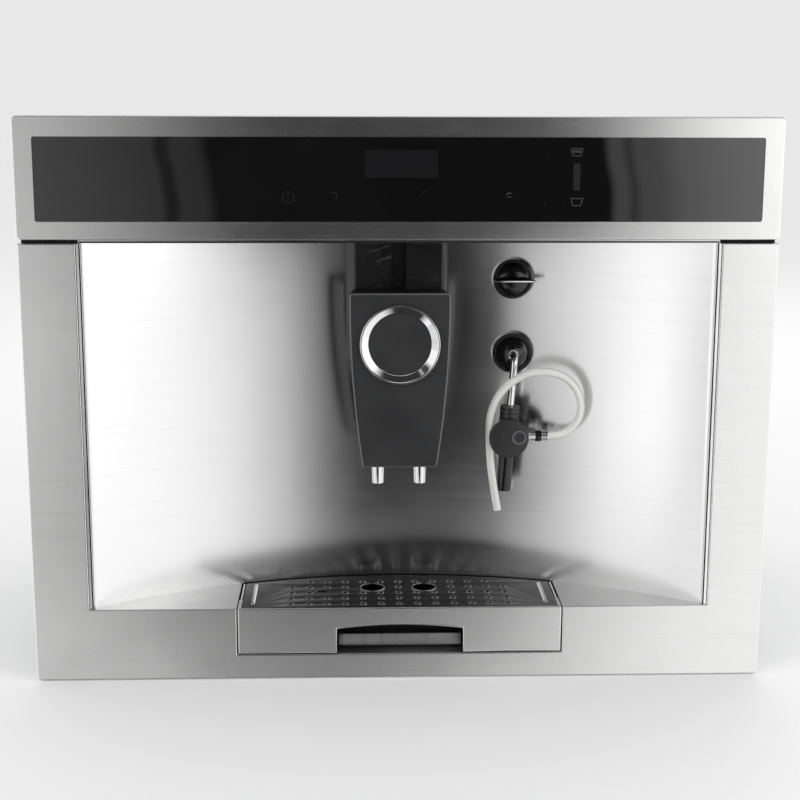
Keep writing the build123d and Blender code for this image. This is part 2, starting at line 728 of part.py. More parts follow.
def inside_recess(depth):
    """Upright prism in front of the recess wall, from a depth back to the wall's face."""
    with BuildPart(mode=Mode.PRIVATE) as room:
        with BuildSketch(level(LEDGE)):
            with Locations((0, at(WALL_DEPTH - WALL_RADIUS))):
                Circle(WALL_RADIUS)
            with Locations((0, at(depth))):
                Rectangle(OPENING, WALL_DEPTH, align=(Align.CENTER, Align.MIN), mode=Mode.INTERSECT)
        extrude(amount=WALL_TOP - LEDGE)
    return room.part


# ---------------------------------------------------------------- outlet head
def head_outline(inset):
    """Outline of the outlet head: flat top and bottom, sides that swell a little and taper down."""
    top_x = HEAD_WIDTH / 2 - inset
    foot_x = HEAD_FOOT_WIDTH / 2 - inset
    top_z = HEAD_TOP - inset
    foot_z = HEAD_BOTTOM + inset
    middle = ((top_x + foot_x) / 2 + HEAD_BULGE / 2, (top_z + foot_z) / 2)
    with BuildSketch(Plane.XY, mode=Mode.PRIVATE) as outline:
        with BuildLine():
            ThreePointArc((top_x, top_z), middle, (foot_x, foot_z))
            Line((foot_x, foot_z), (-foot_x, foot_z))
            ThreePointArc((-foot_x, foot_z), (-middle[0], middle[1]), (-top_x, top_z))
            Line((-top_x, top_z), (top_x, top_z))
        make_face()
        fillet(outline.vertices().group_by(Axis.Y)[-1], HEAD_CORNER)
        fillet(outline.vertices().group_by(Axis.Y)[0], HEAD_CORNER / 2)
    return outline.sketch


with BuildPart() as outlet_column:
    with BuildSketch(front(COLUMN_FRONT)):
        with BuildLine():
            Polyline(
                (COLUMN_WIDTH / 2, WALL_TOP),
                (COLUMN_WIDTH / 2, COLUMN_TAPER_TOP),
                (COLUMN_FOOT_WIDTH / 2, COLUMN_BOTTOM),
                (-COLUMN_FOOT_WIDTH / 2, COLUMN_BOTTOM),
                (-COLUMN_WIDTH / 2, COLUMN_TAPER_TOP),
                (-COLUMN_WIDTH / 2, WALL_TOP),
                close=True,
            )
        make_face()
    extrude(amount=-(WALL_DEPTH - COLUMN_FRONT))
    fillet(outlet_column.edges().filter_by(Axis.Z).group_by(Axis.Y)[0], HEAD_CORNER)
    add(inside_recess(COLUMN_FRONT), mode=Mode.INTERSECT)
    # T-shaped slot that the carriage hangs in
    with BuildSketch(level(COLUMN_BOTTOM)):
        with Locations((0, at(COLUMN_FRONT))):
            Rectangle(RAIL_NECK, RAIL_NECK_DEPTH, align=(Align.CENTER, Align.MIN))
        with Locations((0, at(COLUMN_FRONT + RAIL_NECK_DEPTH))):
            Rectangle(RAIL_HEAD, RAIL_HEAD_DEPTH, align=(Align.CENTER, Align.MIN))
    extrude(amount=WALL_TOP, mode=Mode.SUBTRACT)
write(outlet_column, "outlet_column")

RAIL_TOP = HEAD_TOP - HEAD_CORNER - SLIDE_GAP
with BuildPart() as outlet_carriage:
    with BuildSketch(front(CARRIAGE_FRONT)):
        add(head_outline(CARRIAGE_INSET))
    extrude(amount=-CARRIAGE_DEPTH)
    fillet(outlet_carriage.faces().sort_by(Axis.Y)[-1].edges(), HEAD_CORNER / 3)
    # T-shaped rail on the back
    with BuildSketch(level(RAIL_TOP)):
        with Locations((0, at(CARRIAGE_BACK))):
            Rectangle(
                RAIL_NECK - 2 * SLIDE_GAP, RAIL_NECK_DEPTH + 2 * SLIDE_GAP, align=(Align.CENTER, Align.MIN)
            )
        with Locations((0, at(COLUMN_FRONT + RAIL_NECK_DEPTH + SLIDE_GAP))):
            Rectangle(
                RAIL_HEAD - 2 * SLIDE_GAP, RAIL_HEAD_DEPTH - 2 * SLIDE_GAP, align=(Align.CENTER, Align.MIN)
            )
    extrude(amount=-RAIL_LENGTH)
    # seats of the two spouts
    with BuildSketch(level(HEAD_BOTTOM)):
        with Locations((0, at(SPOUT_DEPTH))):
            with GridLocations(SPOUT_SPACING, 1, 2, 1):
                Circle(SPOUT_RADIUS)
    extrude(amount=SPOUT_SEAT + CARRIAGE_INSET, mode=Mode.SUBTRACT)
write(outlet_carriage, "outlet_carriage")

with BuildPart() as outlet_cover:
    with BuildSketch(front(HEAD_FACE)):
        add(head_outline(0))
    extrude(amount=-COVER_THICK)
    chamfer(outlet_cover.faces().sort_by(Axis.Y)[0].edges(), COVER_CHAMFER)
    with BuildSketch(front(HEAD_FACE)):
        with Locations((0, RING_Z)):
            Circle(RING_RADIUS)
    extrude(amount=-RING_SEAT, mode=Mode.SUBTRACT)
write(outlet_cover, "outlet_cover")

RING_PLANE = Plane(origin=(0, at(HEAD_FACE + RING_SEAT), RING_Z), x_dir=(1, 0, 0), z_dir=(0, 0, 1))
with BuildPart() as outlet_ring:
    with BuildSketch(RING_PLANE):
        with BuildLine():
            Polyline(
                (RING_INNER, 0),
                (RING_RADIUS, 0),
                (RING_RADIUS, -RING_SEAT - RING_HEIGHT * 0.35),
                (RING_RADIUS - RING_HEIGHT * 0.4, -RING_SEAT - RING_HEIGHT),
                (RING_INNER, -RING_SEAT),
                close=True,
            )
        make_face()
    revolve(axis=Axis((0, at(HEAD_FACE), RING_Z), (0, 1, 0)))
write(outlet_ring, "outlet_ring")

with BuildPart() as outlet_disc:
    with BuildSketch(front(HEAD_FACE + RING_SEAT)):
        with Locations((0, RING_Z)):
            Circle(RING_INNER)
    extrude(amount=DISC_THICK)
    chamfer(outlet_disc.faces().sort_by(Axis.Y)[0].edges(), DISC_THICK / 3)
write(outlet_disc, "outlet_disc")

SPOUT_TOP = HEAD_BOTTOM + CARRIAGE_INSET + SPOUT_SEAT
with BuildPart() as outlet_spouts:
    with BuildSketch(level(SPOUT_TOP)):
        with Locations((0, at(SPOUT_DEPTH))):
            with GridLocations(SPOUT_SPACING, 1, 2, 1):
                Circle(SPOUT_RADIUS)
                Circle(SPOUT_BORE, mode=Mode.SUBTRACT)
    extrude(amount=-(SPOUT_LENGTH + SPOUT_SEAT + CARRIAGE_INSET))
write(outlet_spouts, "outlet_spouts")

# ---------------------------------------------------------------- steam knob and valve
with BuildPart() as knob_bezel:
    with BuildSketch(front(BEZEL_FACE)):
        with Locations((KNOB_X, KNOB_Z)):
            Circle(BEZEL_RADIUS)
            Circle(VALVE_NECK + SLIDE_GAP, mode=Mode.SUBTRACT)
    extrude(amount=-(WALL_DEPTH - BEZEL_FACE))
    fillet(knob_bezel.faces().sort_by(Axis.Y)[0].edges().sort_by(SortBy.LENGTH)[-1], BEZEL_RIM / 2)
    with BuildSketch(front(BEZEL_FACE)):
        with Locations((KNOB_X, KNOB_Z)):
            Circle(BEZEL_RADIUS - BEZEL_RIM)
    extrude(amount=-KNOB_SKIRT, mode=Mode.SUBTRACT)
    add(inside_recess(0), mode=Mode.INTERSECT)
write(knob_bezel, "knob_bezel")

FIN_PLANE = front(BEZEL_FACE - KNOB_DOME - KNOB_FIN_DEPTH)
with BuildPart() as steam_knob:
    with BuildSketch(front(BEZEL_FACE + KNOB_SKIRT - SLIDE_GAP)):
        with Locations((KNOB_X, KNOB_Z)):
            Circle(KNOB_RADIUS)
    extrude(amount=KNOB_SKIRT + KNOB_DOME)
    fillet(steam_knob.faces().sort_by(Axis.Y)[0].edges(), KNOB_DOME * 0.8)
    with BuildSketch(FIN_PLANE):
        with Locations((KNOB_X, KNOB_Z)):
            SlotOverall(KNOB_FIN_LENGTH, KNOB_FIN_THICK)
    extrude(amount=-(KNOB_FIN_DEPTH + KNOB_DOME - SLIDE_GAP))
    fillet(steam_knob.faces().sort_by(Axis.Y)[0].edges(), KNOB_FIN_THICK / 5)
    # socket for the valve spindle
    with BuildSketch(front(BEZEL_FACE + KNOB_SKIRT)):
        with Locations((KNOB_X, KNOB_Z)):
            Circle(SPINDLE_RADIUS)
    extrude(amount=KNOB_SKIRT + KNOB_DOME, mode=Mode.SUBTRACT)
write(steam_knob, "steam_knob")

SPINDLE_START = BEZEL_FACE - KNOB_DOME
with BuildPart() as knob_spindle:
    with BuildSketch(front(SPINDLE_START)):
        with Locations((KNOB_X, KNOB_Z)):
            Circle(SPINDLE_RADIUS)
    extrude(amount=-SPINDLE_LENGTH)
write(knob_spindle, "knob_spindle")

VALVE_FRONT = WALL_DEPTH + WALL_SHEET
NECK_FRONT = BEZEL_FACE + KNOB_SKIRT + SLIDE_GAP
with BuildPart() as steam_valve:
    with BuildSketch(front(VALVE_FRONT)):
        with Locations((KNOB_X, KNOB_Z)):
            Rectangle(VALVE_WIDTH, VALVE_HEIGHT)
    extrude(amount=-VALVE_DEPTH)
    chamfer(steam_valve.edges().filter_by(Axis.Y), VALVE_WIDTH / 10)
    with BuildSketch(front(NECK_FRONT)):
        with Locations((KNOB_X, KNOB_Z)):
            Circle(VALVE_NECK)
    extrude(amount=-(VALVE_FRONT - NECK_FRONT))
    with BuildSketch(front(NECK_FRONT)):
        with Locations((KNOB_X, KNOB_Z)):
            Circle(SPINDLE_RADIUS + RUN_FIT)
    extrude(amount=-(SPINDLE_START + SPINDLE_LENGTH + SLIDE_GAP - NECK_FRONT), mode=Mode.SUBTRACT)
write(steam_valve, "steam_valve")

# ---------------------------------------------------------------- steam wand
LEAN = math.radians(WAND_LEAN)
WAND = Plane(
    origin=(WAND_X, at(WAND_DEPTH), WAND_Z),
    x_dir=(math.cos(LEAN), 0, -math.sin(LEAN)),
    z_dir=(0, -1, 0),
)
BALL_CENTRE = (WAND_X, at(BALL_DEPTH), WAND_Z)
SOCKET_RADIUS = BALL_RADIUS + BALL_FIT + SOCKET_WALL


def across_wand(height):
    """Plane square to the wand's tube, at a height along it from the ball's middle."""
    return Plane(
        origin=WAND.from_local_coords((0, height, 0)),
        x_dir=WAND.x_dir,
        z_dir=WAND.y_dir,
    )


with BuildPart() as wand_socket:
    with BuildSketch(front(SOCKET_FACE)):
        with Locations((WAND_X, WAND_Z)):
            Circle(SOCKET_RADIUS)
    extrude(amount=-(WALL_DEPTH - SOCKET_FACE))
    fillet(wand_socket.faces().sort_by(Axis.Y)[0].edges(), SOCKET_WALL / 4)
    add(inside_recess(0), mode=Mode.INTERSECT)
    # body that passes through the wall and closes the seat behind the ball
    with BuildSketch(front(SOCKET_FACE + SOCKET_WALL)):
        with Locations((WAND_X, WAND_Z)):
            Circle(SOCKET_RADIUS - SOCKET_LIP)
    extrude(amount=-(SOCKET_BACK + WALL_DEPTH - BALL_DEPTH))
    with Locations(BALL_CENTRE):
        Sphere(BALL_RADIUS + BALL_FIT, mode=Mode.SUBTRACT)
write(wand_socket, "wand_socket")

BALL_FRONT = BALL_DEPTH - BALL_RADIUS + BALL_FLAT
with BuildPart() as wand_ball:
    with Locations(BALL_CENTRE):
        Sphere(BALL_RADIUS)
    with BuildSketch(front(BALL_FRONT)):
        with Locations((WAND_X, WAND_Z)):
            Circle(BALL_RADIUS)
    extrude(amount=BALL_RADIUS, mode=Mode.SUBTRACT)
    with BuildSketch(front(BALL_FRONT)):
        with Locations((WAND_X, WAND_Z)):
            Circle(TUBE_RADIUS + RUN_FIT)
    extrude(amount=-(BALL_DEPTH - BALL_FRONT), mode=Mode.SUBTRACT)
write(wand_ball, "wand_ball")

TUBE_END = BALL_DEPTH - SLIDE_GAP
with BuildPart() as steam_tube:
    with BuildLine() as tube_path:
        FilletPolyline(
            WAND.from_local_coords((0, 0, WAND_DEPTH - TUBE_END)),
            WAND.from_local_coords((0, 0, 0)),
            WAND.from_local_coords((0, -TUBE_DROP, 0)),
            radius=TUBE_BEND,
        )
    with BuildSketch(Plane(origin=tube_path.line @ 0, z_dir=tube_path.line % 0)):
        Circle(TUBE_RADIUS)
        Circle(TUBE_BORE, mode=Mode.SUBTRACT)
    sweep()
    with BuildSketch(front(BALL_FRONT - SLIDE_GAP)):
        with Locations((WAND_X, WAND_Z)):
            Circle(COLLAR_RADIUS)
            Circle(TUBE_RADIUS * 0.9, mode=Mode.SUBTRACT)
    extrude(amount=COLLAR_THICK)
    with BuildSketch(front(BALL_FRONT - SLIDE_GAP)):
        with Locations((WAND_X, WAND_Z)):
            Circle(TUBE_BORE)
    extrude(amount=-(TUBE_END - BALL_FRONT + SLIDE_GAP), mode=Mode.SUBTRACT)
write(steam_tube, "steam_tube")

with BuildPart() as frother_body:
    # stepped neck that grips the tube
    with BuildSketch(across_wand(-NECK_TOP)):
        Circle(NECK_RADIUS)
    extrude(amount=-(PUCK_DROP - NECK_TOP))
    with BuildSketch(across_wand(-NECK_TOP - NECK_STEP / 2)):
        Circle(NECK_RADIUS + 1)
        Circle(NECK_RADIUS - NECK_GROOVE, mode=Mode.SUBTRACT)
    groove = extrude(amount=-NECK_STEP / 3, mode=Mode.PRIVATE)
    for step in range(NECK_STEPS):
        add(Pos(WAND.y_dir * (-step * NECK_STEP)) * groove, mode=Mode.SUBTRACT)
    # barrel behind the front cap
    with BuildSketch(WAND.offset(CAP_FRONT - CAP_THICK)):
        with Locations((0, -PUCK_DROP)):
            Circle(BARREL_RADIUS)
    extrude(amount=-(CAP_FRONT - CAP_THICK + BARREL_BACK))
    # bores for the steam tube and the nozzle
    with BuildSketch(across_wand(-NECK_TOP)):
        Circle(TUBE_RADIUS + RUN_FIT)
    extrude(amount=-(TUBE_DROP - NECK_TOP + SLIDE_GAP), mode=Mode.SUBTRACT)
    with BuildSketch(across_wand(-NOZZLE_DROP + NOZZLE_LENGTH)):
        Circle(NOZZLE_RADIUS)
    extrude(amount=-NOZZLE_LENGTH, mode=Mode.SUBTRACT)
write(frother_body, "frother_body")

with BuildPart() as frother_cap:
    with BuildSketch(WAND.offset(CAP_FRONT)):
        with Locations((0, -PUCK_DROP)):
            Circle(PUCK_RADIUS)
    extrude(amount=-CAP_THICK)
    chamfer(frother_cap.faces().sort_by(Axis.Y)[0].edges(), CAP_CHAMFER)
    with BuildSketch(WAND.offset(CAP_FRONT)):
        with Locations((INSET_X, -PUCK_DROP)):
            Circle(INSET_RADIUS)
            Circle(INSET_RADIUS - NECK_GROOVE, mode=Mode.SUBTRACT)
    extrude(amount=-NECK_GROOVE, mode=Mode.SUBTRACT)
write(frother_cap, "frother_cap")

with BuildPart() as frother_nozzle:
    with BuildSketch(across_wand(-NOZZLE_DROP)):
        Circle(NOZZLE_RADIUS)
    extrude(amount=NOZZLE_LENGTH)
    chamfer(frother_nozzle.faces().sort_by(Axis.Z)[0].edges(), CAP_CHAMFER / 2)
    with BuildSketch(across_wand(-NOZZLE_DROP)):
        Circle(NOZZLE_BORE)
    extrude(amount=NOZZLE_LENGTH * 0.8, mode=Mode.SUBTRACT)
write(frother_nozzle, "frother_nozzle")

# the barb points along the wand's own X, raised a little, with its root inside the barrel
BARB_TILT = math.radians(BARB_RISE)
BARB_X = math.cos(BARB_TILT) * WAND.x_dir + math.sin(BARB_TILT) * WAND.y_dir
BARB_ROOT = WAND.from_local_coords((0, -PUCK_DROP, 0))


def across_barb(distance):
    """Plane square to the barb, at a distance from the frother's middle."""
    return Plane(origin=BARB_ROOT + BARB_X * distance, x_dir=(0, 1, 0), z_dir=BARB_X)


BARB_START = BARB_SLEEVE_END + BARB_COLLAR_LENGTH
with BuildPart() as milk_barb:
    with BuildSketch(across_barb(BARREL_RADIUS)):
        Circle(BARB_SLEEVE_RADIUS)
    extrude(amount=BARB_SLEEVE_END - BARREL_RADIUS)
    with BuildSketch(across_barb(BARB_SLEEVE_END)):
        Circle(BARB_COLLAR_RADIUS)
    extrude(amount=BARB_COLLAR_LENGTH)
    for barb in range(BARB_COUNT):
        with BuildSketch(across_barb(BARB_START + barb * BARB_PITCH)):
            Circle(BARB_RADIUS)
        extrude(amount=BARB_PITCH, taper=BARB_TAPER)
    # bore, widened where the hose is pushed in
    with BuildSketch(across_barb(BARREL_RADIUS)):
        Circle(BARB_BORE)
    extrude(amount=BARB_START - BARREL_RADIUS, mode=Mode.SUBTRACT)
    with BuildSketch(across_barb(BARB_START)):
        Circle(HOSE_RADIUS + RUN_FIT)
    extrude(amount=BARB_COUNT * BARB_PITCH, mode=Mode.SUBTRACT)
write(milk_barb, "milk_barb")

# milk hose: out of the barb, up in a loop, across in front of the steam tube,
# behind the cap's edge and down beside the nozzle to its free end
HOSE_START = BARB_ROOT + BARB_X * (BARB_START + SLIDE_GAP)
HOSE_ROUTE = [
    HOSE_START,
    HOSE_START + BARB_X * HOSE_FIRST_RUN,
    Vector(145.0, at(48.8), 199.8),
    Vector(151.7, at(46.6), 211.5),
    Vector(151.0, at(44.4), 226.7),
    Vector(142.0, at(42.0), 241.2),
    Vector(127.2, at(39.8), 249.2),
    Vector(107.0, at(38.2), 249.6),
    Vector(86.6, at(38.9), 237.8),
    Vector(75.1, at(42.8), 216.0),
    Vector(75.5, at(46.6), 188.3),
    Vector(77.6, at(44.8), 158.8),
    Vector(82.8, at(41.6), 131.4),
]


def easy_bends(route):
    """Radius for every corner of a route, as large as the runs beside it allow."""
    bends = []
    for before, corner, after in zip(route, route[1:], route[2:]):
        arriving = corner - before
        leaving = after - corner
        half_turn = math.radians(arriving.get_angle(leaving)) / 2
        bends.append(HOSE_EASE * min(arriving.length, leaving.length) / math.tan(half_turn))
    return bends


HOSE_BENDS = easy_bends(HOSE_ROUTE)
print("milk hose bends:", [round(bend, 1) for bend in HOSE_BENDS])

with BuildPart() as milk_hose:
    with BuildLine() as hose_path:
        FilletPolyline(*HOSE_ROUTE, radius=HOSE_BENDS)
    with BuildSketch(Plane(origin=hose_path.line @ 0, z_dir=hose_path.line % 0)):
        Circle(HOSE_RADIUS)
        Circle(HOSE_BORE, mode=Mode.SUBTRACT)
    sweep()
print("milk hose length:", round(sum(edge.length for edge in hose_path.edges()), 1))
write(milk_hose, "milk_hose")

# ---------------------------------------------------------------- drip tray
PAN_START = FRAME_DEPTH + SLIDE_GAP
PAN_RIM_Z = GRID_UNDER - SLIDE_GAP
with BuildPart() as drip_tray_pan:
    with BuildSketch(level(TRAY_FLOOR)):
        with Locations((0, at((PAN_START + TRAY_DEPTH) / 2))):
            RectangleRounded(PAN_WIDTH, TRAY_DEPTH - PAN_START, PAN_CORNER)
    extrude(amount=PAN_RIM_Z - TRAY_FLOOR)
    offset(amount=-TRAY_WALL, openings=drip_tray_pan.faces().sort_by(Axis.Z)[-1])
    # partition between the drip water and the grounds bin
    with BuildSketch(level(TRAY_FLOOR + TRAY_WALL)):
        with Locations((0, at(TRAY_PARTITION))):
            Rectangle(PAN_WIDTH - TRAY_WALL, TRAY_WALL)
        # posts that guide the float
        with Locations((FLOAT_X, at(FLOAT_DEPTH))):
            with GridLocations(FLOAT_WIDTH + 2 * SLIDE_GAP + TRAY_WALL, 1, 2, 1):
                Rectangle(TRAY_WALL, FLOAT_WIDTH / 2)
    extrude(amount=FLOAT_HEIGHT * 1.8)
write(drip_tray_pan, "drip_tray_pan")

GRID_START = FRONT_SHEET + SLIDE_GAP
PULL_TOP = TRAY_BOTTOM + PULL_HEIGHT
with BuildPart() as drip_tray_front:
    with BuildSketch(front(0)):
        with Locations((0, TRAY_BOTTOM)):
            Rectangle(TRAY_WIDTH, GRID_TOP - TRAY_BOTTOM, align=(Align.CENTER, Align.MIN))
    extrude(amount=-FRAME_DEPTH)
    fillet(drip_tray_front.faces().sort_by(Axis.Y)[0].edges(), FRONT_EDGE)
    offset(amount=-FRONT_SHEET, openings=drip_tray_front.faces().sort_by(Axis.Y)[-1])
    # finger pull, arched at the top and open at the bottom
    with BuildSketch(front(0)) as pull:
        with BuildLine():
            Line((-PULL_WIDTH / 2, PULL_TOP), (-PULL_WIDTH / 2, 0))
            Line((-PULL_WIDTH / 2, 0), (PULL_WIDTH / 2, 0))
            Line((PULL_WIDTH / 2, 0), (PULL_WIDTH / 2, PULL_TOP))
            ThreePointArc((PULL_WIDTH / 2, PULL_TOP), (0, PULL_TOP + PULL_RISE), (-PULL_WIDTH / 2, PULL_TOP))
        make_face()
        fillet(pull.vertices().group_by(Axis.Y)[-1], PULL_CORNER)
    extrude(amount=-FRAME_DEPTH, mode=Mode.SUBTRACT)
    # the grid lies inside the front's top edge
    with BuildSketch(level(GRID_UNDER - SLIDE_GAP)):
        with Locations((0, at(GRID_START - SLIDE_GAP))):
            Rectangle(GRID_WIDTH + 2 * SLIDE_GAP, FRAME_DEPTH, align=(Align.CENTER, Align.MIN))
    extrude(amount=FRONT_SHEET * 2, mode=Mode.SUBTRACT)
write(drip_tray_front, "drip_tray_front")

GRIP_WIDTH = PULL_WIDTH - 2 * FRONT_SHEET
with BuildPart() as grip_plate:
    with BuildSketch(front(GRIP_DEPTH)) as plate:
        with Locations((0, (GRIP_TOP + GRIP_BOTTOM) / 2)):
            Rectangle(GRIP_WIDTH, GRIP_TOP - GRIP_BOTTOM)
        fillet(plate.vertices().group_by(Axis.Y)[0], GRIP_CORNER)
    extrude(amount=-FRONT_SHEET)
    # the plate's upper edge is turned back to the pocket
    with BuildSketch(level(GRIP_TOP - FRONT_SHEET)):
        with Locations((0, at(GRIP_DEPTH))):
            Rectangle(GRIP_WIDTH, FRAME_DEPTH - GRIP_DEPTH - TRAY_WALL, align=(Align.CENTER, Align.MIN))
    extrude(amount=FRONT_SHEET)
write(grip_plate, "grip_plate")

with BuildPart() as grip_pocket:
    with BuildSketch(front(FRONT_SHEET)):
        with Locations((0, TRAY_BOTTOM)):
            Rectangle(
                PULL_WIDTH + 4 * TRAY_WALL,
                GRID_UNDER - SLIDE_GAP - TRAY_BOTTOM,
                align=(Align.CENTER, Align.MIN),
            )
    extrude(amount=-(FRAME_DEPTH - FRONT_SHEET))
    with BuildSketch(front(FRONT_SHEET)):
        with Locations((0, TRAY_BOTTOM)):
            Rectangle(
                PULL_WIDTH + 2 * TRAY_WALL,
                PULL_HEIGHT + PULL_RISE + TRAY_WALL,
                align=(Align.CENTER, Align.MIN),
            )
    extrude(amount=-(FRAME_DEPTH - FRONT_SHEET - TRAY_WALL), mode=Mode.SUBTRACT)
    add(drip_tray_front.part, mode=Mode.SUBTRACT)
write(grip_pocket, "grip_pocket")

HOLE_EDGE = GRID_SHEET + HOLE_RADIUS + GRID_WALL_GAP
SPOUT_HOLES = [(edge * SPOUT_HOLE_SPACING / 2, SPOUT_HOLE_DEPTH) for edge in (-1, 1)]


def hole_is_free(x, depth):
    """Whether a perforation stays clear of the rim, the spout holes, the float slot and the ribs."""
    near_wall = depth + 2 * HOLE_EDGE > wall_depth(x)
    spout_room = SPOUT_HOLE_RADIUS + 2 * HOLE_RADIUS
    near_spout = any(math.hypot(x - sx, depth - sd) < spout_room for sx, sd in SPOUT_HOLES)
    near_float = math.hypot(x - FLOAT_X, depth - FLOAT_DEPTH) < FLOAT_SLOT
    return not (near_wall or near_spout or near_float)


HOLES = [
    ((column - (HOLE_COLUMNS - 1) / 2) * HOLE_PITCH, HOLE_FIRST_ROW + row * HOLE_ROW_PITCH)
    for row in range(HOLE_ROWS)
    for column in range(HOLE_COLUMNS)
]
with BuildPart() as drip_grid:
    with BuildSketch(level(GRID_TOP - GRID_SKIRT - GRID_SHEET)):
        with Locations((0, at(WALL_DEPTH - WALL_RADIUS))):
            Circle(WALL_RADIUS - GRID_WALL_GAP)
        with Locations((0, at(GRID_START))):
            Rectangle(GRID_WIDTH, WALL_DEPTH, align=(Align.CENTER, Align.MIN), mode=Mode.INTERSECT)
    extrude(amount=GRID_SKIRT + GRID_SHEET)
    offset(amount=-GRID_SHEET, openings=drip_grid.faces().sort_by(Axis.Z)[0])
    # the skirt stays outside the pan's rim only at the sides, so the rest of it is cut away
    with BuildSketch(level(GRID_TOP - GRID_SKIRT - GRID_SHEET)):
        with Locations((0, at(0))):
            Rectangle(PAN_WIDTH + 2 * SLIDE_GAP, 2 * WALL_DEPTH, align=(Align.CENTER, Align.MIN))
        with Locations((0, at(0))):
            Rectangle(GRID_WIDTH, FRAME_DEPTH + SLIDE_GAP, align=(Align.CENTER, Align.MIN))
    extrude(amount=GRID_SKIRT, mode=Mode.SUBTRACT)
    with BuildSketch(level(GRID_TOP - GRID_SHEET)):
        with Locations([(x, at(depth)) for x, depth in HOLES if hole_is_free(x, depth)]):
            RegularPolygon(HOLE_RADIUS, HOLE_SIDES)
        with Locations([(x, at(depth)) for x, depth in SPOUT_HOLES]):
            Circle(SPOUT_HOLE_RADIUS)
        with Locations((FLOAT_X, at(FLOAT_DEPTH))):
            Rectangle(FLOAT_SLOT, FLOAT_SLOT_WIDTH)
    extrude(amount=GRID_SHEET, mode=Mode.SUBTRACT)
    with BuildSketch(level(GRID_TOP)):
        with Locations((0, at(HOLE_FIRST_ROW + GRID_RIB_LENGTH / 2))):
            with GridLocations(2 * GRID_RIB_X, 1, 2, 1):
                Rectangle(GRID_RIB_WIDTH, GRID_RIB_LENGTH)
    extrude(amount=GRID_RIB_HEIGHT)
write(drip_grid, "drip_grid")

FLOAT_BASE = TRAY_FLOOR + TRAY_WALL + SLIDE_GAP
with BuildPart() as tray_float:
    with BuildSketch(level(FLOAT_BASE)):
        with Locations((FLOAT_X, at(FLOAT_DEPTH))):
            RectangleRounded(FLOAT_WIDTH, FLOAT_WIDTH / 2, FLOAT_WIDTH / 8)
    extrude(amount=FLOAT_HEIGHT)
    with BuildSketch(level(FLOAT_BASE + FLOAT_HEIGHT)):
        with Locations((FLOAT_X, at(FLOAT_DEPTH))):
            Rectangle(FLOAT_STEM, FLOAT_STEM_WIDTH)
    extrude(amount=GRID_TOP - FRONT_SHEET - FLOAT_BASE - FLOAT_HEIGHT)
write(tray_float, "tray_float")

BIN_START = TRAY_PARTITION + TRAY_WALL
with BuildPart() as grounds_bin:
    with BuildSketch(level(TRAY_FLOOR + TRAY_WALL)):
        with Locations((0, at(BIN_START + BIN_DEPTH / 2))):
            RectangleRounded(BIN_WIDTH, BIN_DEPTH, PAN_CORNER)
    extrude(amount=BIN_HEIGHT)
    offset(amount=-BIN_WALL, openings=grounds_bin.faces().sort_by(Axis.Z)[-1])
write(grounds_bin, "grounds_bin")

RUNNER_X = PAN_WIDTH / 2 + SLIDE_GAP
with BuildPart() as tray_runners:
    with BuildSketch(front(RUNNER_START + RUNNER_LENGTH)):
        with Locations((RUNNER_X, CASE_LIFT + CASE_SHEET)):
            Rectangle(RUNNER_SHEET, TRAY_FLOOR + PAN_RIM - CASE_LIFT, align=(Align.MIN, Align.MIN))
        with Locations((RUNNER_X, TRAY_FLOOR - SLIDE_GAP)):
            Rectangle(RUNNER_SHELF, RUNNER_SHEET, align=(Align.MAX, Align.MAX))
    extrude(amount=RUNNER_LENGTH)
    mirror(about=Plane.YZ)
write(tray_runners, "tray_runners")

# ---------------------------------------------------------------- hinge shared by the two lids
def hinge_barrel(x, y, z):
    """Barrel of a lid with a pin stub at each end, along X."""
    with BuildPart(Plane(origin=(x, y, z), x_dir=(0, 1, 0), z_dir=(1, 0, 0)), mode=Mode.PRIVATE) as barrel:
        Cylinder(HINGE_PIN * BARREL_RATIO, HINGE_LENGTH)
        Cylinder(HINGE_PIN, HINGE_LENGTH + 2 * EAR_THICK)
    return barrel.part


def hinge_ears(x, y, z, foot):
    """Two ears that hold the pin stubs, standing on a foot height."""
    with BuildPart(mode=Mode.PRIVATE) as ears:
        with BuildSketch(Plane.YZ.offset(x + HINGE_LENGTH / 2 + LID_GAP)):
            with Locations((y, z)):
                Circle(HINGE_PIN * EAR_RATIO)
            with Locations((y, foot)):
                Rectangle(2 * HINGE_PIN * EAR_RATIO, z - foot, align=(Align.CENTER, Align.MIN))
            with Locations((y, z)):
                Circle(HINGE_PIN + RUN_FIT, mode=Mode.SUBTRACT)
        extrude(amount=EAR_THICK)
        mirror(about=Plane.YZ.offset(x))
    return ears.part


# ---------------------------------------------------------------- water tank
SEAT_TOP = TANK_BOTTOM - SLIDE_GAP
with BuildPart() as tank_seat:
    with BuildSketch(level(SEAT_TOP - TANK_SEAT)):
        with Locations((TANK_BAY_X, at(TANK_BAY_DEPTH))):
            Rectangle(CASE_INNER - TANK_BAY_X, TANK_LENGTH + 2 * TANK_FIT, align=(Align.MIN, Align.MIN))
        with Locations((TANK_X, at(TANK_DEPTH))):
            Circle(WATER_HOSE_BORE, mode=Mode.SUBTRACT)
    extrude(amount=TANK_SEAT)
    with BuildSketch(level(SEAT_TOP)):
        with Locations((TANK_X, at(TANK_DEPTH))):
            Circle(VALVE_SPIGOT + SLIDE_GAP)
    extrude(amount=-TANK_SEAT * SEAT_BORE, mode=Mode.SUBTRACT)
    # leg that stands on the deck
    with BuildSketch(level(DECK_TOP)):
        with Locations((TANK_BAY_X, at(TANK_BAY_DEPTH))):
            Rectangle(STAND_SHEET, TANK_LENGTH / 2, align=(Align.MIN, Align.MIN))
            Rectangle(TANK_LENGTH / 2, STAND_SHEET, align=(Align.MIN, Align.MIN))
    extrude(amount=SEAT_TOP - TANK_SEAT - DECK_TOP)
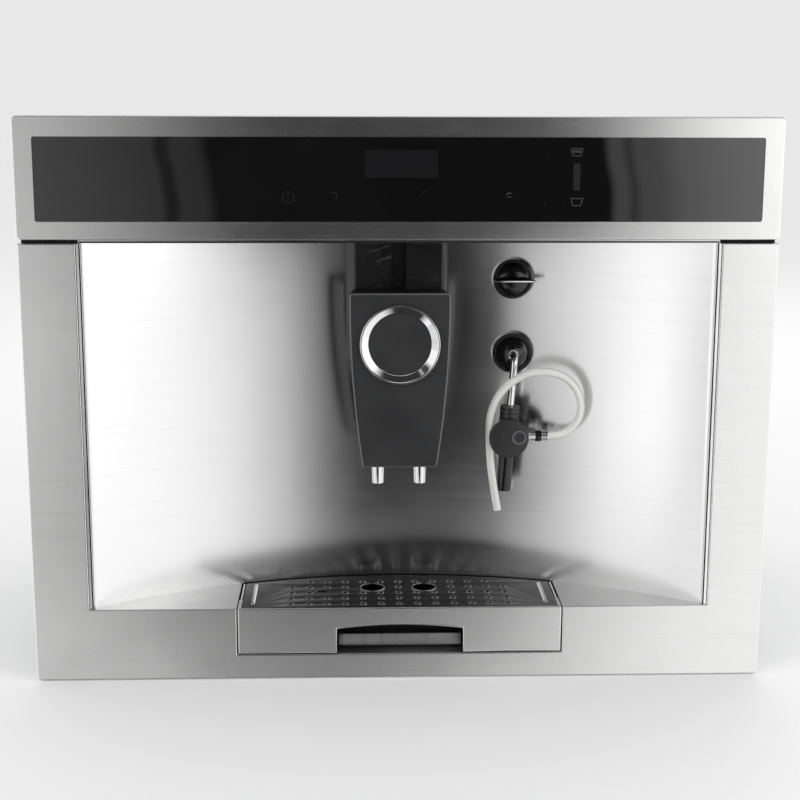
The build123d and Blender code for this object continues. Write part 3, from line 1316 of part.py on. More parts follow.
write(tank_seat, "tank_seat")

LID_BOTTOM = TANK_TOP + LID_GAP
TANK_BACK_Y = at(TANK_DEPTH + TANK_LENGTH / 2)
TANK_HINGE = (TANK_X, TANK_BACK_Y + HINGE_PIN * 2, LID_BOTTOM + LID_THICK / 2)
with BuildPart() as water_tank:
    with BuildSketch(level(TANK_BOTTOM)):
        with Locations((TANK_X, at(TANK_DEPTH))):
            RectangleRounded(TANK_WIDTH, TANK_LENGTH, TANK_CORNER)
    extrude(amount=TANK_TOP - TANK_BOTTOM)
    offset(amount=-TANK_WALL, openings=water_tank.faces().sort_by(Axis.Z)[-1])
    # carrying bar across the mouth
    with BuildSketch(Plane.YZ.offset(TANK_X - TANK_WIDTH / 2 + TANK_WALL / 2)):
        with Locations((at(TANK_DEPTH), TANK_TOP - 2 * TANK_WALL)):
            Circle(TANK_WALL * 1.6)
    extrude(amount=TANK_WIDTH - TANK_WALL)
    # outlet that plugs into the seat
    with BuildSketch(level(TANK_BOTTOM)):
        with Locations((TANK_X, at(TANK_DEPTH))):
            Circle(VALVE_SPIGOT)
    extrude(amount=-TANK_SEAT * SPIGOT_REACH)
    with BuildSketch(level(TANK_TOP - 4 * HINGE_PIN)):
        with Locations((TANK_X, TANK_HINGE[1])):
            with GridLocations(HINGE_LENGTH + 2 * LID_GAP + EAR_THICK, 1, 2, 1):
                Rectangle(EAR_THICK, 4 * HINGE_PIN)
    extrude(amount=4 * HINGE_PIN)
    add(hinge_ears(*TANK_HINGE, foot=TANK_TOP))
write(water_tank, "water_tank")

with BuildPart() as tank_lid:
    with BuildSketch(level(LID_BOTTOM)):
        with Locations((TANK_X, at(TANK_DEPTH))):
            RectangleRounded(TANK_WIDTH, TANK_LENGTH, TANK_CORNER)
        with Locations((TANK_X, TANK_BACK_Y)):
            Rectangle(HINGE_LENGTH, 4 * HINGE_PIN)
    extrude(amount=LID_THICK)
    add(hinge_barrel(*TANK_HINGE))
write(tank_lid, "tank_lid")

# ---------------------------------------------------------------- grinder
HOPPER_FLANGE_TOP = CASE_TOP + HOPPER_WALL
HOPPER_BACK_Y = at(HOPPER_DEPTH + HOPPER_LENGTH / 2 + HOPPER_RIM)
HOPPER_HINGE = (HOPPER_X, HOPPER_BACK_Y + HINGE_PIN * 2, HOPPER_FLANGE_TOP + LID_GAP + LID_THICK / 2)
with BuildPart() as bean_hopper:
    with BuildSketch(level(CASE_TOP)):
        with Locations((HOPPER_X, at(HOPPER_DEPTH))):
            RectangleRounded(HOPPER_WIDTH + 2 * HOPPER_RIM, HOPPER_LENGTH + 2 * HOPPER_RIM, HOPPER_RIM)
    extrude(amount=HOPPER_WALL)
    # funnel and its throat, then the hollow inside them
    for wall, mode in ((0, Mode.ADD), (HOPPER_WALL, Mode.SUBTRACT)):
        throat = 2 * (HOPPER_THROAT - wall)
        mouth = HOPPER_FLANGE_TOP if wall else CASE_TOP
        with BuildSketch(level(mouth)):
            with Locations((HOPPER_X, at(HOPPER_DEPTH))):
                RectangleRounded(HOPPER_WIDTH - 2 * wall, HOPPER_LENGTH - 2 * wall, 2 * HOPPER_RIM)
        with BuildSketch(level(HOPPER_BOTTOM + HOPPER_RIM)):
            with Locations((HOPPER_X, at(HOPPER_DEPTH))):
                RectangleRounded(throat, throat, HOPPER_RIM)
        loft(mode=mode)
        with BuildSketch(level(HOPPER_BOTTOM)):
            with Locations((HOPPER_X, at(HOPPER_DEPTH))):
                RectangleRounded(throat, throat, HOPPER_RIM)
        extrude(amount=HOPPER_RIM, mode=mode)
    with BuildSketch(level(CASE_TOP)):
        with Locations((HOPPER_X, HOPPER_HINGE[1])):
            with GridLocations(HINGE_LENGTH + 2 * LID_GAP + EAR_THICK, 1, 2, 1):
                Rectangle(EAR_THICK, 4 * HINGE_PIN)
    extrude(amount=HOPPER_WALL)
    add(hinge_ears(*HOPPER_HINGE, foot=HOPPER_FLANGE_TOP))
write(bean_hopper, "bean_hopper")

with BuildPart() as hopper_lid:
    with BuildSketch(level(HOPPER_FLANGE_TOP + LID_GAP)):
        with Locations((HOPPER_X, at(HOPPER_DEPTH))):
            RectangleRounded(HOPPER_WIDTH + 2 * HOPPER_RIM, HOPPER_LENGTH + 2 * HOPPER_RIM, HOPPER_RIM)
        with Locations((HOPPER_X, HOPPER_BACK_Y)):
            Rectangle(HINGE_LENGTH, 4 * HINGE_PIN)
    extrude(amount=LID_THICK)
    add(hinge_barrel(*HOPPER_HINGE))
write(hopper_lid, "hopper_lid")

GRINDER_Y = at(HOPPER_DEPTH)
STAND_TOP = BURR_BOTTOM - GRIND_MOTOR_HEIGHT
with BuildPart() as burr_housing:
    with BuildSketch(level(BURR_BOTTOM)):
        with Locations((HOPPER_X, GRINDER_Y)):
            Circle(BURR_RADIUS)
    extrude(amount=BURR_HEIGHT)
    chamfer(burr_housing.faces().sort_by(Axis.Z)[-1].edges(), BURR_RADIUS - HOPPER_THROAT - HOPPER_RIM)
    # sloping chute to the brew unit
    with BuildSketch(front(HOPPER_DEPTH - CHUTE_WIDTH / 2)):
        with BuildLine():
            Polyline(
                (HOPPER_X, BURR_BOTTOM + CHUTE_HEIGHT),
                (HOPPER_X, BURR_BOTTOM),
                (HOPPER_X - BURR_RADIUS, BURR_BOTTOM),
                (CHUTE_END_X + CHUTE_WIDTH, BREW_TOP + SLIDE_GAP),
                (CHUTE_END_X, BREW_TOP + SLIDE_GAP),
                (CHUTE_END_X, BREW_TOP + CHUTE_LIP),
                close=True,
            )
        make_face()
    extrude(amount=-CHUTE_WIDTH)
    with BuildSketch(level(HOPPER_BOTTOM)):
        with Locations((HOPPER_X, GRINDER_Y)):
            Circle(HOPPER_THROAT - HOPPER_WALL)
    extrude(amount=-BURR_BOWL, mode=Mode.SUBTRACT)
    with BuildSketch(front(HOPPER_DEPTH - CHUTE_WIDTH / 2 + CHUTE_WALL)):
        with BuildLine():
            Polyline(
                (HOPPER_X - BURR_CONE, BURR_BOTTOM + CHUTE_HEIGHT - CHUTE_WALL),
                (HOPPER_X - BURR_CONE, BURR_BOTTOM + CHUTE_WALL),
                (HOPPER_X - BURR_RADIUS, BURR_BOTTOM + CHUTE_WALL),
                (CHUTE_END_X + CHUTE_WIDTH - CHUTE_WALL, BREW_TOP),
                (CHUTE_END_X + CHUTE_WALL, BREW_TOP),
                (CHUTE_END_X + CHUTE_WALL, BREW_TOP + CHUTE_LIP - CHUTE_WALL),
                close=True,
            )
        make_face()
    extrude(amount=-(CHUTE_WIDTH - 2 * CHUTE_WALL), mode=Mode.SUBTRACT)
    # burr cone
    with Locations((HOPPER_X, GRINDER_Y, HOPPER_BOTTOM - BURR_BOWL)):
        Cone(BURR_CONE, BURR_TIP, BURR_BOWL * 0.8, align=(Align.CENTER, Align.CENTER, Align.MIN))
write(burr_housing, "burr_housing")

with BuildPart() as grinder_motor:
    with BuildSketch(level(STAND_TOP)):
        with Locations((HOPPER_X, GRINDER_Y)):
            Circle(GRIND_MOTOR_RADIUS)
    extrude(amount=GRIND_MOTOR_HEIGHT)
    # stand that carries the grinder on the deck
    with BuildSketch(level(DECK_TOP)):
        with Locations((HOPPER_X, GRINDER_Y)):
            Rectangle(STAND_WIDTH, STAND_DEPTH)
    extrude(amount=STAND_TOP - DECK_TOP)
    with BuildSketch(level(DECK_TOP)):
        with Locations((HOPPER_X, GRINDER_Y)):
            Rectangle(STAND_WIDTH - 2 * STAND_SHEET, STAND_DEPTH)
    extrude(amount=STAND_TOP - STAND_SHEET - DECK_TOP, mode=Mode.SUBTRACT)
write(grinder_motor, "grinder_motor")

# ---------------------------------------------------------------- brew unit
BREW_INNER_X = -CASE_HALF + BREW_LENGTH
BREW_Y = at(BREW_DEPTH)
BREW_MID_X = (-CASE_HALF + BREW_INNER_X) / 2
INLET_MID_X = CHUTE_END_X + CHUTE_WIDTH / 2
with BuildPart() as brew_unit:
    with BuildSketch(level(BREW_BOTTOM)):
        with Locations((-CASE_HALF, BREW_Y)):
            Rectangle(BREW_LENGTH, BREW_THICK, align=(Align.MIN, Align.CENTER))
    extrude(amount=BREW_HEIGHT)
    fillet(brew_unit.edges().filter_by(Axis.Z).group_by(Axis.X)[-1], TANK_CORNER)
    # service plate that closes the opening in the case
    with BuildSketch(side(-CASE_HALF - SLIDE_GAP)):
        with Locations((BREW_Y, (BREW_BOTTOM + BREW_TOP) / 2)):
            RectangleRounded(
                BREW_THICK + 2 * (BREW_GAP + BREW_LAP), BREW_HEIGHT + 2 * (BREW_GAP + BREW_LAP), BREW_LAP
            )
    extrude(amount=-BREW_PLATE)
    with BuildSketch(side(-CASE_HALF - SLIDE_GAP)):
        with Locations((BREW_Y, BREW_BOTTOM + BREW_HEIGHT / 2)):
            Rectangle(BREW_THICK, BREW_HEIGHT)
    extrude(amount=SLIDE_GAP)
    # finger grip in the service plate
    with BuildSketch(side(-CASE_HALF - SLIDE_GAP - BREW_PLATE)):
        with Locations((BREW_Y, BREW_TOP - BREW_GRIP_WIDTH)):
            RectangleRounded(BREW_GRIP_WIDTH, BREW_GRIP_HEIGHT, BREW_LAP)
    extrude(amount=BREW_GRIP_HEIGHT, mode=Mode.SUBTRACT)
    # grooves that ride on the deck's rails
    with BuildSketch(level(BREW_BOTTOM)):
        for edge in (-1, 1):
            with Locations((-CASE_HALF, BREW_Y + edge * BREW_THICK * RAIL_SPREAD)):
                Rectangle(BREW_LENGTH, BREW_RAIL + 2 * SLIDE_GAP, align=(Align.MIN, Align.CENTER))
    extrude(amount=DECK_TOP + BREW_RAIL_HEIGHT + SLIDE_GAP - BREW_BOTTOM, mode=Mode.SUBTRACT)
    # inlet for the ground coffee
    with BuildSketch(level(BREW_TOP)):
        with Locations((INLET_MID_X, BREW_Y)):
            Circle(BREW_INLET)
    extrude(amount=-BREW_INLET_DEPTH, mode=Mode.SUBTRACT)
    # window on the front with the brewing piston in it
    with BuildSketch(front(BREW_DEPTH - BREW_THICK / 2)):
        with Locations((BREW_MID_X, BREW_BOTTOM + BREW_HEIGHT * 0.4)):
            Rectangle(BREW_WINDOW_WIDTH, BREW_WINDOW_HEIGHT)
    extrude(amount=-BREW_WINDOW_DEPTH, mode=Mode.SUBTRACT)
    with BuildSketch(level(BREW_BOTTOM + BREW_HEIGHT * 0.4 - BREW_WINDOW_HEIGHT / 2)):
        with Locations((BREW_MID_X, at(BREW_DEPTH - BREW_THICK / 2 + BREW_WINDOW_DEPTH / 2))):
            Circle(BREW_PISTON)
    extrude(amount=BREW_WINDOW_HEIGHT)
write(brew_unit, "brew_unit")

DRIVE_X = BREW_INNER_X + BREW_GAP
with BuildPart() as brew_drive:
    with BuildSketch(level(DECK_TOP)):
        with Locations((DRIVE_X, at(DRIVE_DEPTH))):
            Rectangle(DRIVE_WIDTH, DRIVE_LENGTH, align=(Align.MIN, Align.CENTER))
    extrude(amount=DRIVE_HEIGHT)
    fillet(brew_drive.edges().filter_by(Axis.Z), BREW_GAP)
    # gear case on the side towards the brew unit
    with BuildSketch(side(DRIVE_X + DRIVE_WIDTH)):
        with Locations((at(DRIVE_DEPTH), DECK_TOP + DRIVE_HEIGHT / 2)):
            Circle(DRIVE_GEAR)
    extrude(amount=BREW_GAP)
write(brew_drive, "brew_drive")

# ---------------------------------------------------------------- heater, pump and pipes
HEATER_BOTTOM = DECK_TOP + HEATER_LEG
HEATER_TOP = HEATER_BOTTOM + HEATER_HEIGHT
with BuildPart() as thermoblock:
    with BuildSketch(level(HEATER_BOTTOM)):
        with Locations((HEATER_X, at(HEATER_DEPTH))):
            Rectangle(HEATER_WIDTH, HEATER_LENGTH)
    extrude(amount=HEATER_HEIGHT)
    fillet(thermoblock.edges().filter_by(Axis.Z), FIN_THICK)
    with BuildSketch(level(HEATER_BOTTOM)):
        with Locations((HEATER_X, at(HEATER_DEPTH + HEATER_LENGTH / 2))):
            with GridLocations(HEATER_WIDTH / HEATER_FINS, 1, HEATER_FINS, 1):
                Rectangle(FIN_THICK, FIN_HEIGHT, align=(Align.CENTER, Align.MIN))
    extrude(amount=HEATER_HEIGHT)
    with BuildSketch(level(DECK_TOP)):
        with Locations((HEATER_X, at(HEATER_DEPTH))):
            with GridLocations(HEATER_WIDTH * 0.7, HEATER_LENGTH * 0.6, 2, 2):
                Circle(BOARD_POST_RADIUS)
    extrude(amount=HEATER_LEG)
write(thermoblock, "thermoblock")

with BuildPart() as pump:
    with BuildSketch(side(PUMP_X - PUMP_LENGTH / 2)):
        with Locations((at(PUMP_Y_DEPTH), PUMP_Z)):
            Circle(PUMP_RADIUS)
    extrude(amount=PUMP_LENGTH)
    chamfer(pump.edges(), BREW_GAP)
    with BuildSketch(side(PUMP_X - PUMP_LENGTH / 2 - PUMP_NOSE_LENGTH)):
        with Locations((at(PUMP_Y_DEPTH), PUMP_Z)):
            Circle(PUMP_NOSE)
    extrude(amount=PUMP_LENGTH + 2 * PUMP_NOSE_LENGTH)
    for end in (-1, 1):
        with BuildSketch(side(PUMP_X + end * PUMP_BRACKET_PITCH / 2)):
            with Locations((at(PUMP_Y_DEPTH), DECK_TOP)):
                Rectangle(2 * PUMP_RADIUS, PUMP_Z - DECK_TOP, align=(Align.CENTER, Align.MIN))
        extrude(amount=PUMP_BRACKET)
write(pump, "pump")


def pipe(points, bend, radius, bore):
    """Tube along a chain of points, every bend of the same radius."""
    with BuildPart(mode=Mode.PRIVATE) as tube:
        with BuildLine() as path:
            FilletPolyline(*points, radius=bend)
        with BuildSketch(Plane(origin=path.line @ 0, z_dir=path.line % 0)):
            Circle(radius)
            Circle(bore, mode=Mode.SUBTRACT)
        sweep()
    return tube.part


PIPE_DEPTH = VALVE_FRONT + VALVE_DEPTH - STEAM_PIPE_RADIUS * 3
SOCKET_BACK_DEPTH = SOCKET_FACE + SOCKET_WALL + SOCKET_BACK + WALL_DEPTH - BALL_DEPTH
STEAM_ENTRY_Z = KNOB_Z + VALVE_HEIGHT / 4
with BuildPart() as steam_pipes:
    add(
        pipe(
            [
                (KNOB_X, at(HEATER_DEPTH), HEATER_TOP),
                (KNOB_X, at(HEATER_DEPTH), STEAM_ENTRY_Z),
                (KNOB_X, at(VALVE_FRONT + VALVE_DEPTH), STEAM_ENTRY_Z),
            ],
            STEAM_PIPE_BEND,
            STEAM_PIPE_RADIUS,
            STEAM_PIPE_BORE,
        )
    )
    add(
        pipe(
            [
                (WAND_X, at(PIPE_DEPTH), KNOB_Z - VALVE_HEIGHT / 2),
                (WAND_X, at(PIPE_DEPTH), WAND_Z),
                (WAND_X, at(SOCKET_BACK_DEPTH), WAND_Z),
            ],
            STEAM_PIPE_BEND,
            STEAM_PIPE_RADIUS,
            STEAM_PIPE_BORE,
        )
    )
write(steam_pipes, "steam_pipes")

PUMP_Y = at(PUMP_Y_DEPTH)
PUMP_END = PUMP_LENGTH / 2 + PUMP_NOSE_LENGTH
HEATER_SIDE_X = HEATER_X - HEATER_WIDTH / 2
HEATER_Y = at(HEATER_DEPTH)
HEATER_LOW_Z = HEATER_BOTTOM + HEATER_HEIGHT * 0.3
HEATER_HIGH_Z = HEATER_BOTTOM + HEATER_HEIGHT * 0.8
DRIVE_MID_X = DRIVE_X + DRIVE_WIDTH / 2
with BuildPart() as water_hoses:
    for route in (
        # tank to pump
        [
            (TANK_X, at(TANK_DEPTH), SEAT_TOP - TANK_SEAT),
            (TANK_X, at(TANK_DEPTH), PUMP_Z + 2 * WATER_HOSE_BEND),
            (TANK_X - 2 * WATER_HOSE_BEND, PUMP_Y, PUMP_Z),
            (PUMP_X + PUMP_END, PUMP_Y, PUMP_Z),
        ],
        # pump to heater, passing under the grinder
        [
            (PUMP_X - PUMP_END, PUMP_Y, PUMP_Z),
            (HOPPER_X, PUMP_Y, PUMP_Z),
            (HOPPER_X, HEATER_Y, HEATER_LOW_Z),
            (HEATER_SIDE_X, HEATER_Y, HEATER_LOW_Z),
        ],
        # heater to brew unit
        [
            (HEATER_SIDE_X, HEATER_Y, HEATER_HIGH_Z),
            (DRIVE_MID_X, HEATER_Y, HEATER_HIGH_Z),
            (DRIVE_MID_X, at(DRIVE_DEPTH - DRIVE_LENGTH / 2), HEATER_HIGH_Z),
        ],
    ):
        add(pipe(route, WATER_HOSE_BEND, WATER_HOSE_RADIUS, WATER_HOSE_BORE))
write(water_hoses, "water_hoses")

# ---------------------------------------------------------------- power board and mains inlet
BOARD_X = CASE_INNER - BOARD_POST - BOARD_THICK
with BuildPart() as power_board:
    with BuildSketch(side(BOARD_X)):
        with Locations((at(BOARD_DEPTH), BOARD_Z)):
            Rectangle(BOARD_LENGTH, BOARD_TALL)
    extrude(amount=BOARD_THICK)
    with BuildSketch(side(CASE_INNER)):
        with Locations((at(BOARD_DEPTH), BOARD_Z)):
            with GridLocations(BOARD_LENGTH - BOARD_INSET, BOARD_TALL - BOARD_INSET, 2, 2):
                Circle(BOARD_POST_RADIUS)
    extrude(amount=-BOARD_POST)
    with BuildSketch(side(BOARD_X)):
        with Locations((at(BOARD_DEPTH) + BOARD_LENGTH / 4, BOARD_Z - BOARD_TALL / 4)):
            Rectangle(TRAFO_SIDE, TRAFO_SIDE)
    extrude(amount=-TRAFO_HEIGHT)
    with BuildSketch(side(BOARD_X)):
        with Locations((at(BOARD_DEPTH), BOARD_Z + BOARD_TALL / 4)):
            with GridLocations(RELAY_PITCH, 1, RELAY_COUNT, 1):
                Rectangle(RELAY_WIDTH, RELAY_LENGTH)
    extrude(amount=-RELAY_HEIGHT)
    with BuildSketch(side(BOARD_X)):
        with Locations((at(BOARD_DEPTH) - BOARD_LENGTH / 4, BOARD_Z - BOARD_TALL / 4)):
            with GridLocations(RELAY_PITCH, RELAY_PITCH, 2, 2):
                Circle(CAPACITOR_RADIUS)
    extrude(amount=-CAPACITOR_HEIGHT)
write(power_board, "power_board")

SWITCH_X = INLET_X + SWITCH_OFFSET
SWITCH_AXIS_Y = at(REAR_SKIN + INLET_LIP - SWITCH_SINK)
MODULE_WIDTH = INLET_WIDTH - 2 * (INLET_LIP + SLIDE_GAP)
MODULE_HEIGHT = INLET_HEIGHT - 2 * (INLET_LIP + SLIDE_GAP)
with BuildPart() as mains_inlet:
    with BuildSketch(front(REAR_SKIN)):
        with Locations((INLET_X, INLET_Z)):
            RectangleRounded(INLET_WIDTH, INLET_HEIGHT, INLET_LIP)
    extrude(amount=-INLET_LIP)
    with BuildSketch(front(REAR_SKIN)):
        with Locations((INLET_X, INLET_Z)):
            Rectangle(MODULE_WIDTH, MODULE_HEIGHT)
    extrude(amount=INLET_BODY)
    with BuildSketch(front(REAR_SKIN + INLET_LIP)):
        with Locations((INLET_X - SOCKET_OFFSET, INLET_Z)):
            RectangleRounded(SOCKET_WIDTH, SOCKET_HEIGHT, INLET_LIP)
    extrude(amount=SOCKET_DEPTH, mode=Mode.SUBTRACT)
    with BuildSketch(front(REAR_SKIN + INLET_LIP)):
        with Locations((SWITCH_X, INLET_Z)):
            Rectangle(SWITCH_WIDTH, SWITCH_HEIGHT)
    extrude(amount=SWITCH_WELL, mode=Mode.SUBTRACT)
    # three contacts in the socket
    with BuildSketch(front(REAR_SKIN + INLET_LIP - SOCKET_DEPTH)):
        with Locations((INLET_X - SOCKET_OFFSET, INLET_Z)):
            with GridLocations(CONTACT_PITCH, 1, 3, 1):
                Rectangle(CONTACT_PITCH / 4, CONTACT_PITCH / 2)
    extrude(amount=-CONTACT_LENGTH)
    with BuildSketch(side(SWITCH_X - SWITCH_WIDTH / 2 - SWITCH_PIN_REACH - SLIDE_GAP)):
        with Locations((SWITCH_AXIS_Y, INLET_Z)):
            Circle(SWITCH_PIN + RUN_FIT)
    extrude(amount=SWITCH_WIDTH + 2 * (SWITCH_PIN_REACH + SLIDE_GAP), mode=Mode.SUBTRACT)
write(mains_inlet, "mains_inlet")

TILT = math.radians(SWITCH_TILT)
SWITCH_PLANE = Plane(
    origin=(SWITCH_X - SWITCH_WIDTH / 2 + SLIDE_GAP, SWITCH_AXIS_Y, INLET_Z),
    x_dir=(0, math.cos(TILT), -math.sin(TILT)),
    z_dir=(1, 0, 0),
)
with BuildPart() as mains_switch:
    with BuildSketch(SWITCH_PLANE):
        with BuildLine():
            Polyline(
                (SWITCH_PEAK, SWITCH_REACH),
                (SWITCH_DIP, 0),
                (SWITCH_PEAK, -SWITCH_REACH),
                (-SWITCH_KEEL, -SWITCH_REACH + SWITCH_PIN),
                (-SWITCH_KEEL, SWITCH_REACH - SWITCH_PIN),
                close=True,
            )
        make_face()
    extrude(amount=SWITCH_WIDTH - 2 * SLIDE_GAP)
    with BuildSketch(side(SWITCH_X - SWITCH_WIDTH / 2 - SWITCH_PIN_REACH)):
        with Locations((SWITCH_AXIS_Y, INLET_Z)):
            Circle(SWITCH_PIN)
    extrude(amount=SWITCH_WIDTH + 2 * SWITCH_PIN_REACH)
write(mains_switch, "mains_switch")
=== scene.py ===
"""Built in coffee machine: finishes, smooth and perforated pieces, and the studio around the frame."""

import math

import bmesh
import bpy
from mathutils import Matrix, Vector


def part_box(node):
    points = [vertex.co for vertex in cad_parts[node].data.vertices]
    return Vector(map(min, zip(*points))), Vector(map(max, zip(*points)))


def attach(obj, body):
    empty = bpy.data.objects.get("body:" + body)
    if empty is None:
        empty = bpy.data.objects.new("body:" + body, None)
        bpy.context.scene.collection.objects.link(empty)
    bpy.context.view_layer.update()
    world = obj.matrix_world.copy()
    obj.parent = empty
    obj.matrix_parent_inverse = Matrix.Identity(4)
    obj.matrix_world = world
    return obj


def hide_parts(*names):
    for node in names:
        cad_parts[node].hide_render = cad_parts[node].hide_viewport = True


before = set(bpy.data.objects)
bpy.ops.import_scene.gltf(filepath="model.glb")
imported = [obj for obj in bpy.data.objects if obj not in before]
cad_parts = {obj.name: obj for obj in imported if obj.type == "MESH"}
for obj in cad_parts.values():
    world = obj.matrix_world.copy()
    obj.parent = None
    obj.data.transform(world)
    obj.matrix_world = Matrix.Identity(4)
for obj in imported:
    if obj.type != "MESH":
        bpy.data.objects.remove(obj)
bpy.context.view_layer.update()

MM = 0.001
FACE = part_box("lower_frame")[0].y
WALL_LOW, WALL_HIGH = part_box("recess_wall")


def place(x, depth, z):
    """Point at x and z millimetres, and a depth in millimetres behind the steel front."""
    return Vector((x * MM, FACE + depth * MM, z * MM))


def linked_object(name, data):
    """An object of the data, linked into the scene."""
    made = bpy.data.objects.new(name, data)
    bpy.context.scene.collection.objects.link(made)
    return made


# ---- camera
CAMERA_PLACE = (-0.03984, -1.36521, 0.47355)
CAMERA_YAW = math.radians(1.923)
CAMERA_PITCH = math.radians(11.369)
CAMERA_ROLL = math.radians(0.161)
CAMERA_LENS = 67.605
CAMERA_RISE = -0.00625


def add_camera():
    """The camera at the photograph's place, with its lens and its small shift."""
    data = bpy.data.cameras.new("camera")
    data.lens = CAMERA_LENS
    data.shift_y = CAMERA_RISE
    camera = linked_object("camera", data)
    level = Vector((math.cos(CAMERA_YAW), -math.sin(CAMERA_YAW), 0))
    ahead = Vector((
        math.sin(CAMERA_YAW) * math.cos(CAMERA_PITCH),
        math.cos(CAMERA_YAW) * math.cos(CAMERA_PITCH),
        -math.sin(CAMERA_PITCH),
    ))
    upright = level.cross(ahead)
    right = math.cos(CAMERA_ROLL) * level + math.sin(CAMERA_ROLL) * upright
    up = math.cos(CAMERA_ROLL) * upright - math.sin(CAMERA_ROLL) * level
    turned = Matrix((right, up, -ahead)).transposed().to_4x4()
    camera.matrix_world = Matrix.Translation(CAMERA_PLACE) @ turned
    bpy.context.scene.camera = camera


add_camera()


# ---- nodes
def feed(tree, socket, value):
    """Gives an input a plain value, or a link from another socket or from a node's first output."""
    if isinstance(value, bpy.types.Node):
        value = value.outputs[0]
    if isinstance(value, bpy.types.NodeSocket):
        tree.links.new(value, socket)
    else:
        socket.default_value = value


def add_node(tree, kind, inputs=(), **settings):
    """A node with its settings, and with its inputs given by their name or their place."""
    node = tree.nodes.new(kind)
    for name, value in settings.items():
        setattr(node, name, value)
    for key, value in dict(inputs).items():
        feed(tree, node.inputs[key], value)
    return node


def math_node(tree, operation, first, second=0.0, clamp=False):
    """Output of a Math node on two values or sockets."""
    pair = enumerate((first, second))
    return add_node(tree, "ShaderNodeMath", pair, operation=operation, use_clamp=clamp).outputs[0]


def times(tree, first, second, clamp=False):
    """Product of two values or sockets."""
    return math_node(tree, "MULTIPLY", first, second, clamp)


def plus(tree, first, second):
    """Sum of two values or sockets."""
    return math_node(tree, "ADD", first, second)


def larger(tree, first, second):
    """The larger of two values or sockets."""
    return math_node(tree, "MAXIMUM", first, second)


def noise_node(tree, vector, scale, detail=2.0, roughness=0.5):
    """Value of a noise texture read at a vector."""
    given = {"Vector": vector, "Scale": scale, "Detail": detail, "Roughness": roughness}
    return add_node(tree, "ShaderNodeTexNoise", given).outputs["Fac"]


def stretched(tree, vector, scale):
    """A vector multiplied by a scale, which is a socket or three numbers."""
    return add_node(tree, "ShaderNodeVectorMath", enumerate((vector, scale)), operation="MULTIPLY").outputs[0]


def between(tree, value, low, high, to_low=0.0, to_high=1.0):
    """A value mapped from one range to another and held inside it."""
    return add_node(tree, "ShaderNodeMapRange", enumerate((value, low, high, to_low, to_high))).outputs[0]


def mixed(tree, share, first, second):
    """Colour between two colours or colour sockets, by a share."""
    node = add_node(tree, "ShaderNodeMix", {0: share}, data_type="RGBA")
    for socket, colour in zip([s for s in node.inputs if s.type == "RGBA"], (first, second)):
        feed(tree, socket, colour)
    return next(s for s in node.outputs if s.type == "RGBA")


def object_spot(tree):
    """Place on the piece, in metres."""
    return add_node(tree, "ShaderNodeTexCoord").outputs["Object"]


# ---- shader groups
BLACK = (0.0, 0.0, 0.0, 1.0)
GROUND_OUTPUTS = {"Colour": "Color", "Roughness": "Float", "Height": "Float"}
# a turn in degrees about the line of sight and the scratch pattern's frequency along each axis
SCRATCH_WAYS = ((20, (14, 40, 420)), (-35, (420, 40, 16)), (75, (30, 40, 500)))
SMEAR_STRETCH = (18, 30, 46)
DUST_GRAIN = 900.0


def node_group(name, kind, inputs, outputs):
    """A node group of a kind with named inputs and outputs, and the sockets at its two ends."""
    tree = bpy.data.node_groups.new(name, kind)
    for side, sockets in (("INPUT", inputs), ("OUTPUT", outputs)):
        for label, value_kind in sockets.items():
            tree.interface.new_socket(label, in_out=side, socket_type="NodeSocket" + value_kind)
    return tree, tree.nodes.new("NodeGroupInput").outputs, tree.nodes.new("NodeGroupOutput").inputs


def brushed_lines_group():
    """Fine parallel brush lines. Stretch holds the lines' frequency along each axis."""
    sizes = {"Contrast": "Float", "Roughness": "Float", "Spread": "Float"}
    tree, given, result = node_group(
        "brushed_lines", "ShaderNodeTree", {"Stretch": "Vector", "Colour": "Color", **sizes}, GROUND_OUTPUTS
    )
    spot = object_spot(tree)
    lines = stretched(tree, spot, given["Stretch"])
    fine = noise_node(tree, lines, 1.0, 1.5)
    broad = noise_node(tree, lines, 0.21)
    cloud = noise_node(tree, spot, 9.0, 3.0, 0.55)
    both = plus(tree, times(tree, fine, 0.35), times(tree, broad, 0.65))
    level = between(tree, both, 0.3, 0.7, -1.0, 1.0)
    shade = times(tree, times(tree, level, given["Contrast"]), -1.0)
    swing = plus(tree, times(tree, level, 0.5), between(tree, cloud, 0.35, 0.65, -1.0, 1.0))
    feed(tree, result["Colour"], mixed(tree, larger(tree, shade, 0.0), given["Colour"], BLACK))
    feed(tree, result["Roughness"], plus(tree, given["Roughness"], times(tree, swing, given["Spread"])))
    feed(tree, result["Height"], both)
    return tree


def wear_marks_group():
    """Short thin scratches in a few directions and soft smears, as a mask of each."""
    tree, given, result = node_group(
        "wear_marks", "ShaderNodeTree", {"Amount": "Float"}, {"Scratches": "Float", "Smears": "Float"}
    )
    spot = object_spot(tree)
    scratches = 0.0
    for turn, stretch in SCRATCH_WAYS:
        ways = {"Vector": spot, "Axis": (0, 1, 0), "Angle": math.radians(turn)}
        turned = add_node(tree, "ShaderNodeVectorRotate", ways).outputs[0]
        lines = noise_node(tree, stretched(tree, turned, stretch), 1.0, 1.0, 0.4)
        here = noise_node(tree, turned, 26.0, 2.0, 0.6)
        mask = times(tree, between(tree, lines, 0.73, 0.78), between(tree, here, 0.56, 0.66))
        scratches = larger(tree, scratches, mask)
    smears = noise_node(tree, stretched(tree, spot, SMEAR_STRETCH), 1.0, 4.0, 0.62)
    smears = between(tree, smears, 0.55, 0.72)
    feed(tree, result["Scratches"], times(tree, scratches, given["Amount"], clamp=True))
    feed(tree, result["Smears"], times(tree, smears, given["Amount"], clamp=True))
    return tree


